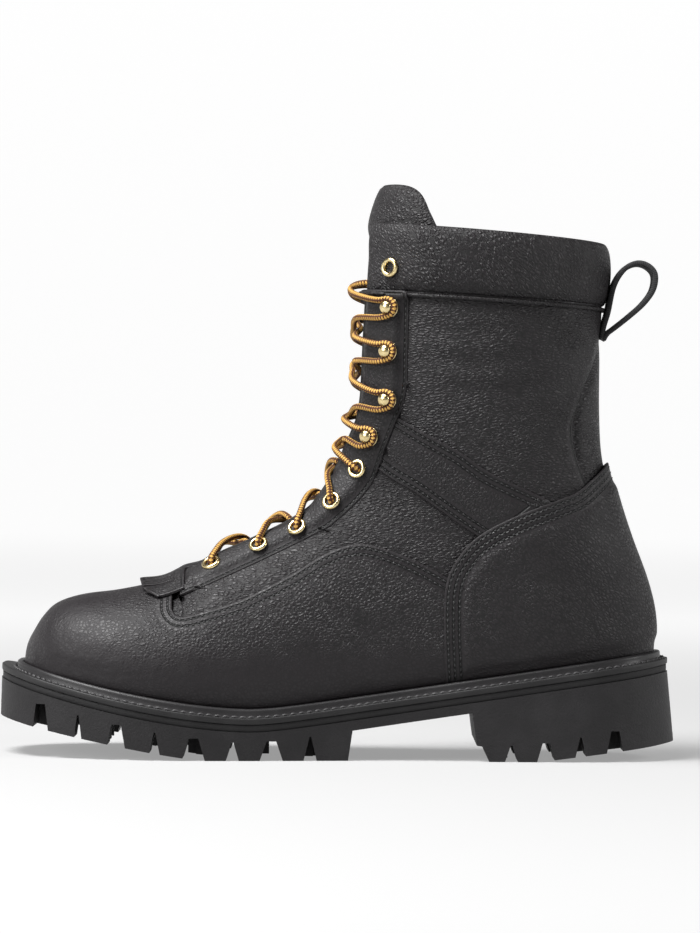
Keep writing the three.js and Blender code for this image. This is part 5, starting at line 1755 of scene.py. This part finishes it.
    def outsole(self) -> None:
        """Lugged outsole."""
        last_groove, heel_groove = float(last.x(0.604)), float(last.x(0.176))

        def grooves(wide: bool) -> Callable[[bmesh.types.BMesh], None]:
            """Cutters of the wide grooves, or of the narrow ones between them."""
            def fill(bm: bmesh.types.BMesh) -> None:
                """Adds them to a mesh."""
                for side in Side:
                    for i in range(-1, 5):
                        x = last_groove - i * self.tread_pitch
                        if x < float(last.x(1.0)):
                            break
                        if wide and i >= 0:
                            self.groove(bm, x, self.wide, self.taper, float(heights.groove_top(x)), side)
                        between = x + self.tread_pitch / 2
                        if not wide and between < float(last.x(self.rear_along)) - self.narrow:
                            self.groove(bm, between, self.narrow, 0.12, float(heights.groove_top(between)), side)
                    for i in range(2):
                        x = heel_groove + i * 32.0 - (0.0 if wide else 16.0)
                        rise = float(heights.groove_top(x)) * 0.3
                        rise += self.heel_bevel * max(0.0, x - float(last.x(self.bevel_along)))
                        width = self.wide * (0.8 if i == 0 else 0.9) if wide else self.narrow
                        self.groove(bm, x, width, 0.4 if wide else 0.12, rise, side)
            return fill

        def lugs(bm: bmesh.types.BMesh) -> None:
            """Centre lugs."""
            for i in range(6):
                x = last_groove + self.tread_pitch * 0.45 - i * self.tread_pitch / 1.45
                for y in ((-0.85, 0.85) if i % 2 == 0 else (0.0,)):
                    self.centre_lug(bm, x, y * self.lug)
            self.centre_lug(bm, heel_groove + 32.0 * 0.4, 0.0)

        name = "outsole_rubber"
        piece = add_piece(self.block(), name, [self.finishes.rubber], ["outsole"])
        steps = [(self.cutter(lambda bm: self.pocket(bm, .93, self.rear_along), "cut_front"), "DIFFERENCE"),
                 (self.cutter(lambda bm: self.pocket(bm, .235, .06), "cut_heel"), "DIFFERENCE"),
                 (self.cutter(grooves(True), "cut_wide"), "DIFFERENCE"),
                 (self.cutter(grooves(False), "cut_narrow"), "DIFFERENCE"),
                 (self.cutter(lugs, "add_lugs"), "UNION"),
                 (self.cutter(lambda bm: self.prism(bm, self.tread_line(), -self.reach, self.reach), "cut_tread"),
                  "DIFFERENCE")]
        for tool, operation in steps:
            step = piece.modifiers.new(tool.name, "BOOLEAN")
            step.operation, step.solver, step.object = operation, "EXACT", tool
        bpy.context.view_layer.update()
        done = bpy.data.meshes.new_from_object(piece.evaluated_get(bpy.context.evaluated_depsgraph_get()))
        piece.modifiers.clear()
        old, piece.data = piece.data, done
        bpy.data.meshes.remove(old)
        done.name = name
        for tool, _ in steps:
            bpy.data.meshes.remove(tool.data)
        bm = bmesh.new()
        bm.from_mesh(done)
        bmesh.ops.remove_doubles(bm, verts=bm.verts[:], dist=0.05 * METRES)
        bmesh.ops.dissolve_limit(bm, angle_limit=math.radians(1.0), verts=bm.verts[:], edges=bm.edges[:])
        sharp = [edge for edge in bm.edges if len(edge.link_faces) == 2 and edge.calc_face_angle(0.0) > math.radians(28)]
        bmesh.ops.bevel(bm, geom=sharp, offset=0.55 * METRES, affect="EDGES", segments=2, profile=0.5, material=-1,
                        clamp_overlap=True)
        bm.to_mesh(done)
        bm.free()
        done.shade_smooth()
        done.set_sharp_from_angle(angle=math.radians(32))
        weigh = piece.modifiers.new("weigh", "WEIGHTED_NORMAL")
        weigh.keep_sharp = True
        log.info("%s: %d faces", name, len(done.polygons))


@dataclass
class Lacing:
    """Eyelets, hooks and the lace that runs through them."""

    finishes: Finishes
    rows: tuple = ((Fitting.EYELET, .6997, .699), (Fitting.EYELET, .6265, .771), (Fitting.EYELET, .5655, .839),
                   (Fitting.EYELET, .5112, .941), (Fitting.EYELET, .4709, 1.067), (Fitting.HOOK, .4502, 1.19),
                   (Fitting.HOOK, .4234, 1.328), (Fitting.HOOK, .4227, 1.506), (Fitting.HOOK, .421, 1.668),
                   (Fitting.EYELET, .4224, 1.816))
    seat: float = 3.05
    collar_seat: float = 2.55
    radius: float = 4.6
    hole: float = 2.5
    rim: float = 1.15
    head: float = 2.9
    neck: float = 2.2
    rise: float = 5.4
    cord: float = 1.45
    rings_per_mm: float = 1.15

    def build(self) -> None:
        """Builds the fittings and the lace."""
        for k, (kind, along, up) in enumerate(self.rows):
            for side in Side:
                seat = self.collar_seat if k == len(self.rows) - 1 else self.seat
                bm = self.eyelet(seat) if kind is Fitting.EYELET else self.hook()
                t, v = self.spot(k, side)
                at, normal = last.skin(t, v, seat)[0], Vector(last.normal(t, v)[0])
                turn = normal.to_track_quat("Z", "Y").to_matrix().to_4x4()
                bmesh.ops.transform(bm, matrix=Matrix.Translation(Vector(at) * METRES) @ turn, verts=bm.verts[:])
                name = f"{kind.value}_{side.word}_{k + 1:02d}"
                add_piece(bm, f"{name}_brass", [self.finishes.brass], [name], sharp=50.0)
        self.lace()

    def spot(self, row: int, side: Side) -> tuple[Array, Array]:
        """Station and share of a fitting."""
        _, along, up = self.rows[row]
        return last.locate(last.x(along), last.z(up), side)

    def turned(self, profile: Sequence[tuple[float, float]], steps: int = 28) -> bmesh.types.BMesh:
        """A turned shape of a profile of radii and heights."""
        bm = bmesh.new()
        verts = [bm.verts.new(Vector((r, 0.0, h)) * METRES) for r, h in profile]
        edges = [bm.edges.new(pair) for pair in zip(verts[:-1], verts[1:])]
        bmesh.ops.spin(bm, geom=verts + edges, cent=(0, 0, 0), axis=(0, 0, 1), angle=2 * math.pi, steps=steps,
                       use_merge=True)
        bmesh.ops.remove_doubles(bm, verts=bm.verts[:], dist=0.004 * METRES)
        bmesh.ops.recalc_face_normals(bm, faces=bm.faces[:])
        return bm

    def eyelet(self, seat: float) -> bmesh.types.BMesh:
        """A rolled eyelet with its barrel."""
        r, h, up = self.radius, self.hole, self.rim
        arch = [(r - (r - h) * (1 - math.cos(a)) / 2, up * math.sin(a) ** 0.8)
                for a in np.linspace(0.0, math.pi * 0.82, 9)]
        inside = [(h, up * 0.2), (h - 0.05, -0.6), (h, -seat - 1.0), (h + 0.6, -seat - 1.0), (h + 0.6, -0.05),
                  (r - 0.1, -0.05), (r, 0.0)]
        return self.turned([(r, 0.0)] + arch[1:] + inside)

    def hook(self) -> bmesh.types.BMesh:
        """A domed lacing hook on its riveted foot."""
        r, n, h, top = self.radius, self.neck, self.head, self.rise
        dome = [(h * math.cos(a), top - 1.5 + 1.5 * math.sin(a)) for a in np.linspace(0.0, math.pi / 2, 7)]
        return self.turned([(0.0, -0.05), (r, -0.05), (r, 0.25), (r * 0.9, 0.6), (n * 1.3, 0.7), (n, 1.1),
                            (n, top - 2.1), (n * 1.15, top - 1.8), (h * 0.96, top - 1.65)] + dome[:-1]
                           + [(0.0, top)], 24)

    def strand(self, row: int, side: Side) -> list[Array]:
        """Points of the lace from one fitting to the next one across.

        Args:
            row: Row it starts from.
            side: Side it starts from.

        Returns:
            The points, from the start up to the next fitting.
        """
        (t0, v0), (t1, v1) = self.spot(row, side), self.spot(row + 1, Side(-side.value))
        from_hook = self.rows[row][0] is Fitting.HOOK
        to_hook = self.rows[row + 1][0] is Fitting.HOOK
        t0, v0, t1, v1 = float(t0[0]), float(v0[0]), float(t1[0]), float(v1[0])
        over = side is Side.OUTER if row % 2 == 0 else side is Side.INNER

        def at(share: float, height: float) -> Array:
            """A point between the two fittings."""
            t, v = t0 + (t1 - t0) * share, v0 + (v1 - v0) * share
            return last.skin(np.array([t]), np.array([v]), height)[0]

        shaft = self.rows[row][0] is Fitting.HOOK
        middle = (0.5 if over else -2.7) if shaft else (1.7 if over else -1.5)
        ring = np.linalg.norm(last.bare(np.array([t0]), np.array([v0])) - last.bare(np.array([t1]), np.array([v1])))
        points = []
        if from_hook:
            points += [at(0.27, 3.9)]
        else:
            points += [at(-0.02, -4.2), at(-0.01, 0.5), at(0.0, 3.6), at(1.6 / ring, 4.75), at(4.8 / ring, 4.7),
                       at(0.25, 4.1)]
        points += [at(0.5, middle)]
        if to_hook:
            points += [at(0.74, 3.9)]
            points += self.round_hook(row + 1, Side(-side.value), at(0.9, 5.5))
        else:
            points += [at(0.69, 0.2 if over else -1.2), at(0.80, -3.6), at(0.93, -4.6)]
        return points

    def round_hook(self, row: int, side: Side, coming: Array) -> list[Array]:
        """Points of the lace round the back of a hook's neck, from under it to over it."""
        t, v = self.spot(row, side)
        centre, normal = last.skin(t, v, self.seat + 2.15)[0], last.normal(t, v)[0]
        toward = coming - centre
        toward -= normal * toward.dot(normal)
        toward /= np.linalg.norm(toward)
        up = np.cross(normal, toward)
        up *= 1.0 if up[2] > 0 else -1.0
        away = self.neck + self.cord + 0.1
        turns = np.radians([-88.0, -120.0, -155.0, -190.0, -225.0, -262.0])
        ring = [centre + away * (toward * math.cos(a) + up * math.sin(a)) for a in turns]
        lead = 4.6 * toward
        return [ring[0] + lead] + ring + [ring[-1] + lead + 0.6 * up]

    def chain(self, side: Side) -> Array:
        """The lace that starts in the first eyelet of a side."""
        t, v = self.spot(0, side)
        t1, v1 = self.spot(0, Side(-side.value))
        start = [last.skin(t + 0.0, v + (v1 - v) * s, h)[0] for s, h in ((0.5, -4.4), (0.25, -4.6))]
        points = start
        for row in range(8):
            points = points + self.strand(row, side)
            side = Side(-side.value)
        t, v = self.spot(8, side)
        (_, w) = self.spot(8, Side(-side.value))
        for share, height, climb in ((0.3, 4.5, 0.3), (0.5, 2.6, 0.5), (0.68, 0.2, 0.62),
                                     (0.78, -4.2, 0.66), (0.86, -5.0, 0.66)):
            points.append(last.skin(t + climb, v + (w - v) * share, height)[0])
        known = np.array(points)
        gaps = np.linalg.norm(np.diff(known, axis=0), axis=1)
        known = known[np.concatenate([[True], gaps > 0.3])]
        smoothed = self.smoothed(known)
        at, run = evenly(smoothed, 1.0 / self.rings_per_mm)
        return along_path(run, smoothed, at)

    def smoothed(self, known: Array) -> Array:
        """Open centripetal Catmull-Rom curve through places."""
        ends = np.vstack([2 * known[0] - known[1], known, 2 * known[-1] - known[-2]])
        made = []
        for a, b, c, d in zip(ends[:-3], ends[1:-2], ends[2:-1], ends[3:]):
            ta, tb, tc = (max(np.linalg.norm(q - p), 1e-6) ** 0.5 for p, q in ((a, b), (b, c), (c, d)))
            m1 = ((b - a) / ta - (c - a) / (ta + tb) + (c - b) / tb) * tb
            m2 = ((c - b) / tb - (d - b) / (tb + tc) + (d - c) / tc) * tb
            s = (np.arange(12) / 12)[:, None]
            made.append(b + m1 * s + (3 * (c - b) - 2 * m1 - m2) * s ** 2 + (2 * (b - c) + m1 + m2) * s ** 3)
        return np.vstack(made + [known[-1:]])

    def lace(self) -> None:
        """The two halves of the lace, as one piece."""
        whole = bmesh.new()
        turn = 2.0 * math.pi * self.cord
        for side in Side:
            rings, runs = tube(self.chain(side), self.cord, 12)
            half = sweep(rings, runs=runs / turn * 2.2)
            mesh = bpy.data.meshes.new("half")
            half.to_mesh(mesh)
            half.free()
            whole.from_mesh(mesh)
            bpy.data.meshes.remove(mesh)
        add_piece(whole, "lace_cord", [self.finishes.lace], ["laces"])


@dataclass
class Studio:
    """Pale floor, soft lights and the camera at the photograph's angle."""

    distance: float = 2.0
    height: float = 0.135
    centre: float = 0.00493
    lens: float = 219.07
    roll: float = 0.0105
    floor_radius: float = 6.5
    wall_radius: float = 3.0
    flat_share: float = 0.6

    def build(self) -> None:
        """Makes the studio."""
        self.floor()
        self.lights()
        self.camera()

    def floor(self) -> None:
        """A round floor that curves up to a wall all round. It glows as painted light, brighter far off and dimmer
        behind the camera.
        """
        bm, places = grid(96, 60)
        turn, run = places[:, 0] * 2.0 * math.pi, places[:, 1] / self.flat_share
        curve = np.clip((run - 1.0) / (1.0 / self.flat_share - 1.0), 0.0, 1.0) * math.pi / 2
        out = np.minimum(run, 1.0) * self.floor_radius + self.wall_radius * np.sin(curve)
        rise = self.wall_radius * (1.0 - np.cos(curve)) - 0.0001
        place(bm, np.column_stack([out * np.cos(turn), out * np.sin(turn), rise]) / METRES)
        bmesh.ops.remove_doubles(bm, verts=bm.verts[:], dist=0.01 * METRES)
        mesh = bpy.data.meshes.new("studio_floor")
        bm.to_mesh(mesh)
        bm.free()
        mesh.shade_smooth()
        n = Nodes("studio_floor")
        coords = n.add("ShaderNodeTexCoord").outputs["Object"]
        y = n.add("ShaderNodeSeparateXYZ", Vector=coords).outputs[1]
        far = n.add("ShaderNodeVectorMath", operation="LENGTH", Vector=coords).outputs["Value"]
        # Painted light: the emission makes the floor a glowing lamp, stronger with distance from the boot and weaker on
        # the camera's side.
        away = n.math("ADD", n.ramp(far, 0.1, 2.0, 0.0, 0.5), n.ramp(far, 2.0, 6.0, 0.0, 0.08))
        away = n.math("MULTIPLY", away, n.ramp(y, -1.8, -0.5, 0.2, 1.0))
        n.feed(n.shader.inputs["Emission Strength"], n.math("ADD", away, n.ramp(y, -1.8, -0.7, 0.12, 0.32)))
        mesh.materials.append(n.finish(shade(0.3, 0.3, 0.3), 0.9, Specular_IOR_Level=0.0,
                                       Emission_Color=shade(1.0, 1.0, 1.0)))
        floor = bpy.data.objects.new("studio_floor", mesh)
        bpy.context.scene.collection.objects.link(floor)

    def lights(self) -> None:
        """A bright room and large soft panels."""
        world = bpy.data.worlds.new("studio")
        bpy.context.scene.world = world
        world.use_nodes = True
        back = world.node_tree.nodes["Background"]
        back.inputs["Color"].default_value = shade(1.0, 1.0, 1.0)
        back.inputs["Strength"].default_value = 0.04
        for name, place_, aim, size, power in (
            ("top_light", (-0.6, -0.35, 1.5), (0.0, 0.0, 0.1), 0.8, 50.0),
            ("front_light", (-1.5, -1.1, 0.85), (0.0, 0.0, 0.12), 0.7, 15.0),
            ("side_light", (1.4, -0.35, 0.8), (0.0, 0.0, 0.12), 0.45, 9.0),
        ):
            data = bpy.data.lights.new(name, "AREA")
            data.shape, data.size, data.energy = "SQUARE", size, power
            light = bpy.data.objects.new(name, data)
            light.location = place_
            way = Vector(aim) - Vector(place_)
            light.rotation_euler = way.to_track_quat("-Z", "Y").to_euler()
            bpy.context.scene.collection.objects.link(light)

    def camera(self) -> None:
        """Camera level with the boot's middle, rolled as the photograph is."""
        data = bpy.data.cameras.new("camera")
        data.sensor_fit, data.sensor_width, data.lens = "HORIZONTAL", 36.0, self.lens
        data.clip_start, data.clip_end = 0.05, 50.0
        camera = bpy.data.objects.new("camera", data)
        right = Vector((math.cos(self.roll), 0.0, math.sin(self.roll)))
        up = Vector((-math.sin(self.roll), 0.0, math.cos(self.roll)))
        frame_ = Matrix((right, up, Vector((0.0, -1.0, 0.0)))).transposed().to_4x4()
        camera.matrix_world = Matrix.Translation((self.centre, -self.distance, self.height)) @ frame_
        bpy.context.scene.collection.objects.link(camera)
        bpy.context.scene.camera = camera


def main() -> None:
    """Builds the boot, the studio and the camera."""
    logging.basicConfig(level=logging.INFO, format="%(message)s", stream=sys.stdout)
    bpy.context.scene.view_settings.view_transform = "Standard"
    finishes = Finishes()
    Studio().build()
    for part in (Lacing(finishes), Upper(finishes), Collar(finishes), Tongue(finishes), Kiltie(finishes),
                 PullLoop(finishes), Sole(finishes)):
        log.info("building %s", type(part).__name__)
        part.build()


if __name__ == "__main__":
    main()
